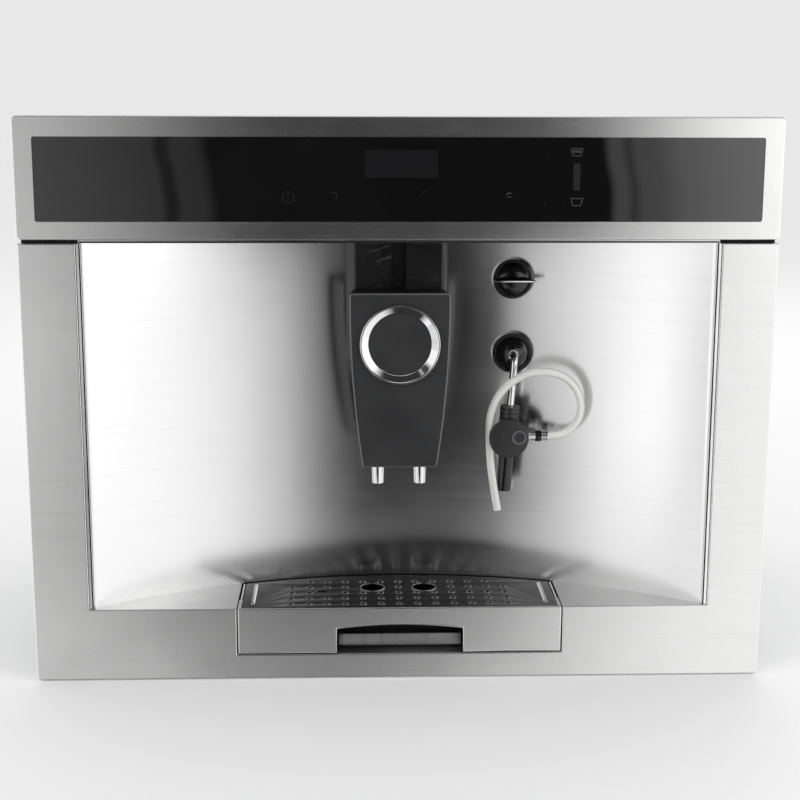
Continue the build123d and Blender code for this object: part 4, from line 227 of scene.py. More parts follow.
def dust_group():
    """Specks of dust that lie more thickly in some places."""
    tree, given, result = node_group("dust", "ShaderNodeTree", {"Amount": "Float"}, {"Mask": "Float"})
    spot = object_spot(tree)
    specks = between(tree, noise_node(tree, spot, DUST_GRAIN), 0.68, 0.74)
    cloud = between(tree, noise_node(tree, spot, 14.0, 3.0, 0.6), 0.42, 0.66)
    feed(tree, result["Mask"], times(tree, times(tree, specks, cloud), given["Amount"], clamp=True))
    return tree


def moulded_grain_group():
    """Fine pebble of a moulded plastic, with a little colour and gloss change over the surface."""
    tree, given, result = node_group(
        "moulded_grain", "ShaderNodeTree",
        {"Colour": "Color", "Roughness": "Float", "Grain": "Float", "Mottle": "Float"}, GROUND_OUTPUTS,
    )
    spot = object_spot(tree)
    cells = add_node(tree, "ShaderNodeTexVoronoi", {"Vector": spot, "Scale": given["Grain"]})
    cloud = noise_node(tree, spot, 22.0, 4.0, 0.6)
    light = times(tree, between(tree, cloud, 0.3, 0.75, -1.0, 1.0), given["Mottle"])
    feed(tree, result["Colour"], stretched(tree, given["Colour"], plus(tree, light, 1.0)))
    gloss = between(tree, cloud, 0.3, 0.7, 0.85, 1.2)
    feed(tree, result["Roughness"], times(tree, given["Roughness"], gloss))
    feed(tree, result["Height"], cells.outputs["Distance"])
    return tree


BRUSHED_LINES = brushed_lines_group()
WEAR_MARKS = wear_marks_group()
DUST = dust_group()
MOULDED_GRAIN = moulded_grain_group()

# ---- finishes
# brush lines run along x on upright faces, along x on level ones, or upright
ACROSS = (1.6, 1.6, 950.0)
ALONG_X_FLAT = (1.6, 950.0, 1.6)
UPRIGHT = (520.0, 1.6, 2.4)
LINES_ALONG_X = (1.0, 0.03, 0.05)
LINES_UPRIGHT = (0.05, 0.03, 1.0)
BRUSH_PULL = 0.75
METAL_RELIEF = 0.00002
PLASTIC_RELIEF = 0.00003
METAL_GRAIN = 500.0
PLASTIC_GRAIN = 1400.0
SCUFF_LIGHTER = 0.12


def place_group(tree, group, **values):
    """A group placed in a material with its own values."""
    return add_node(tree, "ShaderNodeGroup", values, node_tree=group).outputs


def new_material(name, **constants):
    """A material with its Principled shader's plain values set on the shader's own sockets."""
    made = bpy.data.materials.new(name)
    made.use_nodes = True
    shader = made.node_tree.nodes["Principled BSDF"]
    for label, value in constants.items():
        shader.inputs[label.replace("_", " ")].default_value = value
    return made, made.node_tree, shader


def add_bump(tree, shader, height, strength, distance):
    """Small relief of a height, in metres, on a shader's normal."""
    relief = {"Strength": strength, "Distance": distance, "Height": height}
    feed(tree, shader.inputs["Normal"], add_node(tree, "ShaderNodeBump", relief).outputs["Normal"])


def wear_in(tree, shader, ground, amount, scratches, smears, dust, dulled):
    """Scratches and smears, each a share and a colour, and dust over a ground. Smears also dull its gloss."""
    wear = place_group(tree, WEAR_MARKS, Amount=amount)
    specks = place_group(tree, DUST, Amount=amount)
    colour = ground["Colour"]
    for mask, (share, tint) in ((wear["Scratches"], scratches), (wear["Smears"], smears)):
        if share:
            colour = mixed(tree, times(tree, mask, share), colour, (*tint, 1.0))
    feed(tree, shader.inputs["Base Color"], mixed(tree, specks["Mask"], colour, (*dust, 1.0)))
    rough = plus(tree, ground["Roughness"], times(tree, wear["Smears"], dulled))
    feed(tree, shader.inputs["Roughness"], rough)


def brushed_steel(name, colour, roughness, stretch=ACROSS, contrast=0.1, spread=0.05, marks=0.4):
    """Satin stainless steel with brush lines, faint smears and a few scratches."""
    made, tree, shader = new_material(name, Metallic=1.0, Anisotropic=BRUSH_PULL)
    lines = place_group(
        tree, BRUSHED_LINES, Stretch=stretch, Colour=(*colour, 1.0), Contrast=contrast,
        Roughness=roughness, Spread=spread,
    )
    wear_in(tree, shader, lines, marks, (0.5, (0.93, 0.93, 0.92)), (0.16, (0.52, 0.51, 0.49)),
            (0.75, 0.75, 0.75), 0.08)
    # the highlight spreads across the brush lines, on upright and on level faces
    along = LINES_UPRIGHT if stretch == UPRIGHT else LINES_ALONG_X
    ways = enumerate((along, add_node(tree, "ShaderNodeNewGeometry").outputs["Normal"]))
    across = add_node(tree, "ShaderNodeVectorMath", ways, operation="CROSS_PRODUCT")
    feed(tree, shader.inputs["Tangent"], across)
    add_bump(tree, shader, lines["Height"], 0.06, METAL_RELIEF)
    return made


def plain_metal(name, colour, roughness, marks=0.5, mottle=0.12):
    """Pressed, rolled or cast metal without brush lines."""
    made, tree, shader = new_material(name, Metallic=1.0)
    grain = place_group(
        tree, MOULDED_GRAIN, Colour=(*colour, 1.0), Roughness=roughness, Grain=METAL_GRAIN, Mottle=mottle
    )
    wear_in(tree, shader, grain, marks, (0.5, (0.85, 0.85, 0.85)), (0.0, colour), (0.6, 0.6, 0.6), 0.1)
    add_bump(tree, shader, grain["Height"], 0.08, METAL_RELIEF)
    return made


def plastic(name, colour, roughness, grain=PLASTIC_GRAIN, relief=0.2, dusty=0.2, mottle=0.15, **constants):
    """Moulded plastic with a fine pebble, a few scuffs and dust."""
    made, tree, shader = new_material(name, **constants)
    moulded = place_group(
        tree, MOULDED_GRAIN, Colour=(*colour, 1.0), Roughness=roughness, Grain=grain, Mottle=mottle
    )
    scuff = tuple(min(1.0, c + SCUFF_LIGHTER) for c in colour)
    wear_in(tree, shader, moulded, dusty, (0.6, scuff), (0.12, scuff), (0.5, 0.5, 0.48), 0.06)
    if relief:
        add_bump(tree, shader, moulded["Height"], relief, PLASTIC_RELIEF)
    return made


SMOOTH = {"relief": 0.0, "dusty": 0.1}
CLEAR = {"relief": 0.03, "dusty": 0.05, "mottle": 0.03}

# each finish's colour and roughness, and what differs from its maker's usual values
BRUSHED_STEELS = {
    "front_steel": ((0.8, 0.8, 0.795), 0.27, {"contrast": 0.04, "spread": 0.04, "marks": 0.3}),
    "wall_steel": ((0.83, 0.83, 0.83), 0.17, {"contrast": 0.03, "spread": 0.02, "marks": 0.15}),
    "grid_steel": ((0.27, 0.27, 0.27), 0.24, {"stretch": ALONG_X_FLAT, "marks": 0.5}),
    "grip_steel": (
        (0.24, 0.24, 0.24), 0.38, {"stretch": UPRIGHT, "contrast": 0.35, "spread": 0.08, "marks": 0.8}
    ),
}
PLAIN_METALS = {
    # painted highlight: a steel lighter than the grid sheet, for the rims pressed round its holes
    "grid_rim": ((0.42, 0.42, 0.42), 0.2, {"marks": 0.4}),
    "bright_steel": ((0.85, 0.85, 0.85), 0.18, {"marks": 0.3}),
    "chrome": ((0.76, 0.76, 0.77), 0.05, {"marks": 0.15, "mottle": 0.03}),
    "case_steel": ((0.62, 0.63, 0.64), 0.38, {}),
    "cast_metal": ((0.5, 0.5, 0.5), 0.5, {}),
    "brass": ((0.72, 0.55, 0.3), 0.32, {}),
}
PLASTICS = {
    "head_grey": ((0.026, 0.0265, 0.028), 0.33, {"relief": 0.0, "dusty": 0.03, "mottle": 0.08}),
    # painted highlight: a lighter grey for the cover's bevel and the plug's rim
    "head_edge": ((0.11, 0.11, 0.115), 0.2, {"relief": 0.0, "dusty": 0.05, "mottle": 0.1}),
    "black_plastic": ((0.008, 0.008, 0.009), 0.34, {}),
    "column_black": ((0.012, 0.012, 0.013), 0.28, {"relief": 0.0, "dusty": 0.9}),
    "gloss_black": ((0.006, 0.006, 0.007), 0.1, SMOOTH),
    "dark_grey_plastic": ((0.022, 0.022, 0.024), 0.36, {"relief": 0.1, "dusty": 0.1}),
    "grey_plastic": ((0.3, 0.31, 0.32), 0.5, {}),
    "float_dark": ((0.02, 0.012, 0.012), 0.4, {}),
    "clear_plastic": ((0.86, 0.89, 0.9), 0.08, {**CLEAR, "Transmission_Weight": 0.85, "IOR": 1.49}),
    "smoke_plastic": ((0.28, 0.28, 0.3), 0.1, {**CLEAR, "Transmission_Weight": 0.7, "IOR": 1.5}),
    "silicone": (
        (0.95, 0.95, 0.93), 0.2,
        {"relief": 0.05, "dusty": 0.05, "mottle": 0.04, "Transmission_Weight": 0.5, "IOR": 1.41},
    ),
    "circuit_green": ((0.02, 0.12, 0.06), 0.4, {}),
    "black_glass": ((0.002, 0.002, 0.0025), 0.02, {"relief": 0.0, "dusty": 0.03, "IOR": 1.95}),
    "display_film": ((0.009, 0.009, 0.01), 0.12, {**SMOOTH, "IOR": 1.6}),
    "icon_print": ((0.03, 0.03, 0.032), 0.4, SMOOTH),
    "faint_print": ((0.008, 0.008, 0.009), 0.35, SMOOTH),
    # painted shade: the black of the strip in the joint under the panel
    "felt_black": ((0.006, 0.006, 0.006), 0.9, {"grain": 2600.0, "relief": 0.6}),
}
FINISHES = {
    name: maker(name, colour, roughness, **more)
    for maker, table in ((brushed_steel, BRUSHED_STEELS), (plain_metal, PLAIN_METALS), (plastic, PLASTICS))
    for name, (colour, roughness, more) in table.items()
}

NODE_FINISHES = {
    "front_steel": ["lower_frame", "control_panel_fascia", "drip_tray_front"],
    "grip_steel": ["grip_plate"],
    "wall_steel": ["recess_wall"],
    "grid_steel": ["drip_grid"],
    "chrome": ["outlet_ring", "outlet_spouts", "steam_tube", "knob_spindle", "milk_barb"],
    "case_steel": [
        "mounting_plate", "slide_outer_members", "slide_middle_members", "slide_inner_members", "base_pan",
        "side_panel_left", "side_panel_right", "rear_panel", "top_cover", "equipment_deck", "tray_runners",
        "case_screws",
    ],
    "cast_metal": ["thermoblock", "grinder_motor", "pump"],
    "brass": ["steam_valve", "steam_pipes"],
    "head_grey": ["outlet_cover", "outlet_disc"],
    "black_plastic": [
        "recess_ceiling", "outlet_carriage", "grip_pocket", "drip_tray_pan", "grounds_bin",
        "mains_inlet", "mains_switch",
    ],
    "column_black": ["outlet_column"],
    "gloss_black": ["knob_bezel", "steam_knob", "wand_ball", "wand_socket", "frother_nozzle"],
    "dark_grey_plastic": ["frother_body", "frother_cap"],
    "grey_plastic": ["brew_unit", "brew_drive", "burr_housing", "tank_seat"],
    "float_dark": ["tray_float"],
    "clear_plastic": ["water_tank", "tank_lid"],
    "smoke_plastic": ["bean_hopper", "hopper_lid"],
    "silicone": ["milk_hose", "water_hoses"],
    "circuit_green": ["display_board", "power_board"],
    "black_glass": ["control_glass"],
}

for finish, node_names in NODE_FINISHES.items():
    for node_name in node_names:
        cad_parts[node_name].material_slots[0].material = FINISHES[finish]

# ---- making meshes
SAME_SPOT = 1e-6
CORNER_STEPS = 5
BEVEL_STEPS = 4
AHEAD = Vector((0, -1, 0))
DOWN = Vector((0, 0, -1))


def new_piece(name, mesh, finish, body, slot, *nodes, sharp=35):
    """A finished piece at the origin: smooth with sharp edges, painted, riding on its body, for its nodes."""
    piece = linked_object(name, mesh)
    mesh.name = name
    mesh.materials.clear()
    mesh.materials.append(FINISHES[finish])
    mesh.shade_smooth()
    mesh.set_sharp_from_angle(angle=math.radians(sharp))
    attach(piece, body)
    if nodes:
        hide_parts(*nodes)


def tidy_mesh(mesh):
    """Merges a mesh's doubles and turns its faces outwards."""
    work = bmesh.new()
    work.from_mesh(mesh)
    bmesh.ops.remove_doubles(work, verts=work.verts, dist=SAME_SPOT)
    bmesh.ops.recalc_face_normals(work, faces=work.faces)
    work.to_mesh(mesh)
    work.free()


def closed_mesh(points, faces):
    """A mesh from points and faces, with doubles merged and normals turned outwards."""
    mesh = bpy.data.meshes.new("part")
    mesh.from_pydata([tuple(p) for p in points], [], faces)
    tidy_mesh(mesh)
    return mesh


def rounded(corners):
    """A closed outline from corners (x, y, radius), each rounded by its radius."""
    outline = []
    for index, (x, y, radius) in enumerate(corners):
        corner = Vector((x, y))
        if not radius:
            outline.append(corner)
            continue
        before = Vector(corners[index - 1][:2]) - corner
        after = Vector(corners[(index + 1) % len(corners)][:2]) - corner
        reach = min(radius / math.tan(before.angle(after) / 2), before.length * 0.49, after.length * 0.49)
        start, end = corner + before.normalized() * reach, corner + after.normalized() * reach
        for step in range(CORNER_STEPS + 1):
            share = step / CORNER_STEPS
            outline.append(start.lerp(corner, share).lerp(corner.lerp(end, share), share))
    return outline


def lathe(profile, origin, axis, turns=96):
    """A closed solid turned about an axis from a profile of (radius, height) in millimetres."""
    side = axis.orthogonal().normalized()
    other = axis.cross(side)
    points, rings = [], []
    for radius, height in profile:
        middle = origin + axis * height * MM
        if radius < SAME_SPOT:
            rings.append([len(points)] * turns)
            points.append(middle)
            continue
        rings.append(list(range(len(points), len(points) + turns)))
        for turn in range(turns):
            angle = math.tau * turn / turns
            points.append(middle + (side * math.cos(angle) + other * math.sin(angle)) * radius * MM)
    if min(profile[0][0], profile[-1][0]) > SAME_SPOT:
        rings.append(rings[0])
    faces = []
    for low, high in zip(rings, rings[1:]):
        for turn in range(turns):
            after = (turn + 1) % turns
            corners = list(dict.fromkeys((low[turn], low[after], high[after], high[turn])))
            if len(corners) > 2:
                faces.append(corners)
    return closed_mesh(points, faces)


def lofted(rings):
    """A closed solid through rings of points that match one by one."""
    count = len(rings[0])
    points = [point for ring in rings for point in ring]
    faces = [list(range(count)), list(range(len(points) - count, len(points)))]
    for index in range(len(rings) - 1):
        low, high = index * count, (index + 1) * count
        faces += [[low + i, low + (i + 1) % count, high + (i + 1) % count, high + i] for i in range(count)]
    return closed_mesh(points, faces)


def prism(outline, depth_from, depth_to, bevel):
    """A counterclockwise outline of (x, z) millimetres drawn from one depth to another, bevelled in front."""
    loop = [Vector(corner) for corner in outline]
    rings = []
    for step in range(BEVEL_STEPS + 1):
        angle = math.pi / 2 * step / BEVEL_STEPS
        ring = []
        for index, here in enumerate(loop):
            before = (here - loop[index - 1]).normalized()
            after = (loop[(index + 1) % len(loop)] - here).normalized()
            along = (before + after).normalized()
            shrink = bevel * (1 - math.sin(angle)) / max(0.5, along.dot(after))
            spot = here + Vector((-along.y, along.x)) * shrink
            ring.append(place(spot.x, depth_from + bevel * (1 - math.cos(angle)), spot.y))
        rings.append(ring)
    rings.append([place(corner.x, depth_to, corner.y) for corner in loop])
    return lofted(rings)


def box_mesh(low, high):
    """A plain block between two corners of (x, depth, z) millimetres."""
    (x0, d0, z0), (x1, d1, z1) = low, high
    section = ((d0, z0), (d1, z0), (d1, z1), (d0, z1))
    return lofted([[place(x, depth, z) for depth, z in section] for x in (x0, x1)])


def box_pair(near, far, depths, heights):
    """Two equal blocks, on the right and on the left, between two distances from the middle."""
    (front, back), (low, high) = depths, heights
    return joined([box_mesh((side * near, front, low), (side * far, back, high)) for side in (-1, 1)])


def joined(meshes):
    """One mesh of several."""
    work = bmesh.new()
    for mesh in meshes:
        work.from_mesh(mesh)
    whole = bpy.data.meshes.new("part")
    work.to_mesh(whole)
    work.free()
    return whole


def mesh_of(holder):
    """The plain mesh that an object's curve or nodes make. The object itself goes."""
    bpy.context.view_layer.update()
    mesh = bpy.data.meshes.new_from_object(holder.evaluated_get(bpy.context.evaluated_depsgraph_get()))
    bpy.data.objects.remove(holder)
    return mesh


def add_line(curve, kind, points):
    """A POLY or NURBS line of a curve, through points in metres."""
    line = curve.splines.new(kind)
    line.points.add(len(points) - 1)
    for point, spot in zip(line.points, points):
        point.co = (*spot, 1.0)
    return line


def round_curve(name, kind, points, radius, corners):
    """A curve of a round section through points of (x, depth, z) millimetres, and its line."""
    curve = bpy.data.curves.new(name, "CURVE")
    curve.dimensions = "3D"
    curve.bevel_depth = radius * MM
    curve.bevel_resolution = corners
    curve.use_fill_caps = True
    return curve, add_line(curve, kind, [place(*point) for point in points])


# ---- milk hose
HOSE_DIAMETER = 6.5
HOSE_ROUTE = [
    (119.33, 50.0, 192.97),
    (133.73, 50.0, 192.72),
    (145.0, 48.8, 199.8),
    (151.7, 46.6, 211.5),
    (151.0, 44.4, 226.7),
    (142.0, 42.0, 241.2),
    (127.2, 39.8, 249.2),
    (107.0, 38.2, 249.6),
    (86.6, 38.9, 237.8),
    (75.1, 42.8, 216.0),
    (75.5, 46.6, 188.3),
    (77.6, 44.8, 158.8),
    (82.8, 41.6, 131.4),
]


def make_milk_hose():
    """The silicone hose from the barb, round its loop and down to its free end."""
    curve, line = round_curve("milk_hose_line", "NURBS", HOSE_ROUTE, HOSE_DIAMETER / 2, 8)
    curve.resolution_u = 24
    line.order_u = 3
    line.use_endpoint_u = True
    line.use_smooth = True
    curve.materials.append(FINISHES["silicone"])
    hose = linked_object("milk_hose_piece", curve)
    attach(hose, "frother")
    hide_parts("milk_hose")


make_milk_hose()

# ---- recess wall
WALL_RADIUS = 412.07
WALL_DEPTH = 87.5
WALL_SHEET = 1.2
WALL_RETURN = 21.7
WALL_BEND = 1.4
WALL_COLUMNS = 160
WALL_ROWS = 30
BEND_STEPS = 6


def wall_depth(x, radius=WALL_RADIUS):
    """Depth of an arc about the wall's axis at a distance x from the middle."""
    return WALL_DEPTH - WALL_RADIUS + math.sqrt(radius**2 - x**2)


def wall_arc(radius, edge):
    """Points (x, depth) of an arc about the wall's axis, from its left edge to its right one."""
    turned = math.asin(edge / radius)
    angles = [turned * (2 * step / WALL_COLUMNS - 1) for step in range(WALL_COLUMNS + 1)]
    return [(radius * math.sin(a), WALL_DEPTH - WALL_RADIUS + radius * math.cos(a)) for a in angles]


def make_recess_wall():
    """The curved sheet with its bent side returns."""
    half = WALL_HIGH.x / MM
    inner = half - WALL_BEND
    right = []
    for step in range(1, BEND_STEPS + 1):
        angle = math.pi / 2 * step / BEND_STEPS
        sag = 1 - math.cos(angle) - 0.2 * math.sin(2 * angle)
        right.append((inner + WALL_BEND * math.sin(angle), wall_depth(inner) + WALL_BEND * sag))
    right += [(half, WALL_RETURN), (half - WALL_SHEET, WALL_RETURN)]
    section = wall_arc(WALL_RADIUS, inner) + right
    section += reversed(wall_arc(WALL_RADIUS + WALL_SHEET, half - WALL_SHEET))
    section += [(-x, depth) for x, depth in reversed(right)]
    low, high = WALL_LOW.z / MM, WALL_HIGH.z / MM
    levels = [low + (high - low) * row / WALL_ROWS for row in range(WALL_ROWS + 1)]
    sheet = lofted([[place(x, depth, z) for x, depth in section] for z in levels])
    new_piece("recess_wall_sheet", sheet, "wall_steel", "chassis", "steel_front", "recess_wall", sharp=40)


make_recess_wall()

# ---- outlet head trims
RING_SEAT_DEPTH = 19.5
RING_RISE = 276.0
RING_PROFILE = [
    (25.0, 0, 0), (32.3, 0, 0), (32.3, 4.5, 0.5), (31.8, 5.0, 0.5), (31.0, 5.0, 0.3), (30.5, 4.5, 0.3),
    (25.7, 1.9, 0.4), (25.0, 1.2, 0.2),
]
SPOUT_X = 17.5
SPOUT_DEPTH = 46.0
SPOUT_TOP = 176.0
SPOUT_LENGTH = 21.4
SPOUT_PROFILE = [(3.4, 0, 0), (5.3, 0, 0), (4.8, SPOUT_LENGTH, 0.6), (3.4, SPOUT_LENGTH, 0.4)]
COVER_BEVEL_DEPTH = 19.4


def make_outlet_trims():
    """The chrome ring, dished towards the disc that it frames, and the two short spouts under the head."""
    middle = place(0, RING_SEAT_DEPTH, RING_RISE)
    ring = lathe(rounded(RING_PROFILE), middle, AHEAD, 160)
    new_piece("outlet_ring_trim", ring, "chrome", "outlet_head", "chrome", "outlet_ring", sharp=50)
    spouts = joined([
        lathe(rounded(SPOUT_PROFILE), place(side * SPOUT_X, SPOUT_DEPTH, SPOUT_TOP), DOWN, 64)
        for side in (-1, 1)
    ])
    new_piece("outlet_spout_pair", spouts, "chrome", "outlet_head", "chrome", "outlet_spouts")


def make_outlet_cover():
    """The head's grey cover, with a lighter grey painted on the bevel round its face as its highlight."""
    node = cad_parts["outlet_cover"]
    mesh = node.data.copy()
    mesh.transform(node.matrix_world)
    tidy_mesh(mesh)
    new_piece("outlet_cover_bevelled", mesh, "head_grey", "outlet_head", "head_grey", "outlet_cover",
              sharp=20)
    # the bevel faces get a lighter grey: a painted highlight on the edge
    mesh.materials.append(FINISHES["head_edge"])
    for face in mesh.polygons:
        on_rim = max(mesh.vertices[v].co.y for v in face.vertices) < FACE + COVER_BEVEL_DEPTH * MM
        if on_rim and -0.9 < face.normal.y < -0.4:
            face.material_index = 1
        if abs(face.normal.y) > 0.999:
            face.use_smooth = False


make_outlet_trims()
make_outlet_cover()

# ---- steam knob
KNOB_SPOT = (95.0, 69.7, 322.5)
DOME_RADIUS = 13.1
DOME_FOOT = 3.1
DOME_RISE = 6.2
# depth, half width and half height of the fin's sections and of the bright strip on its front edge, a painted
# highlight, from the dome outwards
KNOB_FIN = [
    (62.5, 12.6, 2.6), (59.0, 14.8, 2.2), (55.5, 16.6, 1.8), (52.5, 17.4, 1.45), (50.8, 17.5, 1.25),
    (50.2, 17.2, 1.0), (50.0, 16.8, 0.6),
]
KNOB_FIN_HIGHLIGHT = [(50.6, 16.6, 0.75), (49.95, 16.6, 0.7), (49.8, 16.3, 0.5)]
FIN_SQUARENESS = 3.2


def rounded_ring(half_width, half_height, corners=48, squareness=4.0):
    """Points round a flat oval with squared shoulders."""
    ring = []
    for index in range(corners):
        angle = math.tau * index / corners
        across, up = math.cos(angle), math.sin(angle)
        ring.append((
            half_width * math.copysign(abs(across) ** (2 / squareness), across),
            half_height * math.copysign(abs(up) ** (2 / squareness), up),
        ))
    return ring


def knob_blade(sections):
    """A blade across the knob through its sections."""
    x, _, z = KNOB_SPOT
    rings = []
    for depth, width, height in sections:
        ring = rounded_ring(width, height, squareness=FIN_SQUARENESS)
        rings.append([place(x + across, depth, z + up) for across, up in ring])
    return lofted(rings)


def make_steam_knob():
    """The glossy dome of the steam knob and the thin grip fin across it, with a bright steel strip on the
    fin's front edge as a painted highlight.
    """
    profile = [(0.0, 0.0), (14.0, 0.0), (14.0, 2.6), (13.6, 3.0), (DOME_RADIUS, DOME_FOOT)]
    for angle in range(6, 90, 6):
        turned = math.radians(angle)
        profile.append((DOME_RADIUS * math.cos(turned), DOME_FOOT + DOME_RISE * math.sin(turned)))
    profile.append((0.0, DOME_FOOT + DOME_RISE))
    dome = lathe(profile, place(*KNOB_SPOT), AHEAD)
    whole = joined([dome, knob_blade(KNOB_FIN)])
    new_piece("steam_knob_grip", whole, "gloss_black", "steam_knob", "gloss_black", "steam_knob", sharp=40)
    # painted highlight: a bright steel strip where the fin's front edge catches the light
    new_piece("knob_inlay", knob_blade(KNOB_FIN_HIGHLIGHT), "bright_steel", "steam_knob", "chrome")


make_steam_knob()

# ---- frother cap and milk barb
CAP_ARM = 66.9
CAP_TURN = math.radians(4)
CAP_SPOT = (95.7 - CAP_ARM * math.sin(CAP_TURN), 50.0, 260.2 - CAP_ARM * math.cos(CAP_TURN))
CAP_PROFILE = [(0, 8.5, 0), (16.4, 8.5, 0.4), (16.4, 12.9, 1.3), (0, 12.9, 0)]
CAP_FACE = 12.95
PLUG_SPOT = place(CAP_SPOT[0] + 8.3, CAP_SPOT[1], CAP_SPOT[2] + 1.0)
PLUG_PROFILE = [
    (0, 12.5, 0), (6.0, 12.5, 0), (6.0, 13.5, 0.3), (4.9, 13.5, 0.3), (4.7, CAP_FACE, 0.3), (0, CAP_FACE, 0),
]
PLUG_RIM = (4.5, 6.1)
BARB_ROOT = place(91.03, 50.0, 193.46)
BARB_AXIS = Vector((math.cos(math.radians(-1)), 0, math.sin(math.radians(-1))))
SLEEVE_PROFILE = [
    (0, 10.5, 0), (4.4, 10.5, 0), (4.4, 18.0, 0.4), (3.7, 18.6, 0.4), (3.7, 24.0, 0.2), (0, 24.0, 0),
]
COLLAR_PROFILE = [(0, 23.0, 0), (4.6, 23.0, 0.4), (4.6, 27.8, 0.4), (0, 27.8, 0)]
BARB_LOW, BARB_HIGH = 3.45, 4.0
BARB_START, BARB_PITCH, BARB_END = 27.8, 2.2, 34.4


def make_frother_cap():
    """The frother's round cap with its small plug, whose rim carries a lighter grey as a painted highlight.
    """
    cap = lathe(rounded(CAP_PROFILE), place(*CAP_SPOT), AHEAD)
    plug = lathe(rounded(PLUG_PROFILE), PLUG_SPOT, AHEAD, 64)
    whole = joined([cap, plug])
    new_piece("frother_cap_turned", whole, "dark_grey_plastic", "frother", "dark_grey_plastic", "frother_cap")
    # painted highlight: the plug's rim gets the lighter grey of the painted edge
    whole.materials.append(FINISHES["head_edge"])
    for face in whole.polygons:
        away = face.center - PLUG_SPOT
        on_rim = PLUG_RIM[0] * MM < math.hypot(away.x, away.z) < PLUG_RIM[1] * MM
        face.material_index = 1 if on_rim and -away.y > CAP_FACE * MM else 0


def make_milk_barb():
    """The barb's chrome sleeve, its black collar and the rings that hold the hose."""
    rings = [(0.0, BARB_START - 0.2)]
    for turn in range(3):
        start = BARB_START + turn * BARB_PITCH
        rings += [(BARB_LOW, start), (BARB_HIGH, start + 0.4)]
        rings += [(BARB_HIGH, start + 1.0), (BARB_LOW, start + 1.7)]
    rings.append((0.0, BARB_END))
    metal = [lathe(profile, BARB_ROOT, BARB_AXIS, 64) for profile in (rounded(SLEEVE_PROFILE), rings)]
    new_piece("barb_metal", joined(metal), "chrome", "frother", "black_plastic", "milk_barb")
    collar = lathe(rounded(COLLAR_PROFILE), BARB_ROOT, BARB_AXIS, 64)
    new_piece("barb_collar", collar, "gloss_black", "frother", "black_plastic")


make_frother_cap()
make_milk_barb()

# ---- drip grid
GRID_RISE = 61.0
GRID_SHEET = 1.2
GRID_HALF = 129.5
GRID_START = 1.8
GRID_GAP = 2.5
GRID_EDGE = 0.25
BACK_STEPS = 60
SKIRT_DEPTHS = (23.0, 64.5)
SKIRT_DROP = 4.2
HOLE_RADIUS = 2.3
HOLE_PITCH = 15.0
HOLE_COLUMNS = 13
HOLE_FIRST_ROW = 11.0
HOLE_ROW_PITCH = 14.0
HOLE_ROWS = 5
HOLE_EDGE = GRID_SHEET + HOLE_RADIUS + GRID_GAP
SPOUT_HOLES = [(-22.0, 52.0), (22.0, 52.0)]
SPOUT_HOLE_RADIUS = 10.0
RIM_RADIUS = 2.6
SPOUT_RIM_RADIUS = SPOUT_HOLE_RADIUS + 0.2
RIM_FLATNESS = 0.9
FLOAT_SLOT = (-64.6, 43.0, 8.0, 5.0)
RIB_X = 121.0
RIB_LENGTH = 50.0
RIB_HALF = (1.9, 1.1)
RIB_START = ((0, 0.1), (0.4, 0.6), (1.2, 0.9), (2.5, 1))
RIB_END = tuple((RIB_LENGTH - step, share) for step, share in reversed(RIB_START))


def grid_holes():
    """Middles of the small holes that stay clear of the back edge, the spout holes and the float's slot."""
    holes = []
    for row in range(HOLE_ROWS):
        depth = HOLE_FIRST_ROW + row * HOLE_ROW_PITCH
        for column in range(HOLE_COLUMNS):
            x = (column - (HOLE_COLUMNS - 1) / 2) * HOLE_PITCH
            clear = depth + 2 * HOLE_EDGE <= wall_depth(x)
            for spout in SPOUT_HOLES:
                clear = clear and math.dist((x, depth), spout) >= SPOUT_HOLE_RADIUS + 2 * HOLE_RADIUS
            if clear and math.dist((x, depth), FLOAT_SLOT[:2]) >= FLOAT_SLOT[2]:
                holes.append((x, depth))
    return holes


def circle(x, y, radius, corners):
    """Points round a circle."""
    angles = [math.tau * index / corners for index in range(corners)]
    return [(x + radius * math.cos(angle), y + radius * math.sin(angle)) for angle in angles]


def pierced_sheet(outline, holes, thickness, edge):
    """A flat sheet of an outline in x and depth with holes through it and eased edges, its top at z = 0."""
    curve = bpy.data.curves.new("pierced_sheet", "CURVE")
    curve.dimensions = "2D"
    curve.fill_mode = "BOTH"
    curve.extrude = (thickness / 2 - edge) * MM
    curve.bevel_depth = edge * MM
    curve.bevel_resolution = 2
    curve.offset = -edge * MM
    for loop in (outline, *holes):
        line = add_line(curve, "POLY", [place(x, depth, -thickness / 2) for x, depth in loop])
        line.use_cyclic_u = True
    mesh = mesh_of(linked_object("pierced_sheet", curve))
    mesh.transform(Matrix.Translation((0, 0, -max(vertex.co.z for vertex in mesh.vertices))))
    tidy_mesh(mesh)
    return mesh


def hole_rim_nodes():
    """Geometry nodes that raise a small rolled rim round every point."""
    sizes = {"Rim Radius": "Float", "Bead": "Float", "Flatness": "Float"}
    tree, given, result = node_group(
        "hole_rims", "GeometryNodeTree", {"Geometry": "Geometry", **sizes, "Finish": "Material"},
        {"Geometry": "Geometry"},
    )
    path, roll = (
        add_node(tree, "GeometryNodeCurvePrimitiveCircle", {"Resolution": corners, "Radius": given[radius]})
        for corners, radius in ((24, "Rim Radius"), (10, "Bead"))
    )
    sweep = add_node(tree, "GeometryNodeCurveToMesh", {"Curve": path, "Profile Curve": roll})
    flat = add_node(tree, "ShaderNodeCombineXYZ", {0: 1.0, 1: 1.0, 2: given["Flatness"]})
    squash = add_node(tree, "GeometryNodeTransform", {"Geometry": sweep, "Scale": flat})
    seeds = given["Geometry"]
    spread = add_node(tree, "GeometryNodeInstanceOnPoints", {"Points": seeds, "Instance": squash})
    real = add_node(tree, "GeometryNodeRealizeInstances", {"Geometry": spread})
    paint = add_node(tree, "GeometryNodeSetMaterial", {"Geometry": real, "Material": given["Finish"]})
    feed(tree, result["Geometry"], paint)
    return tree


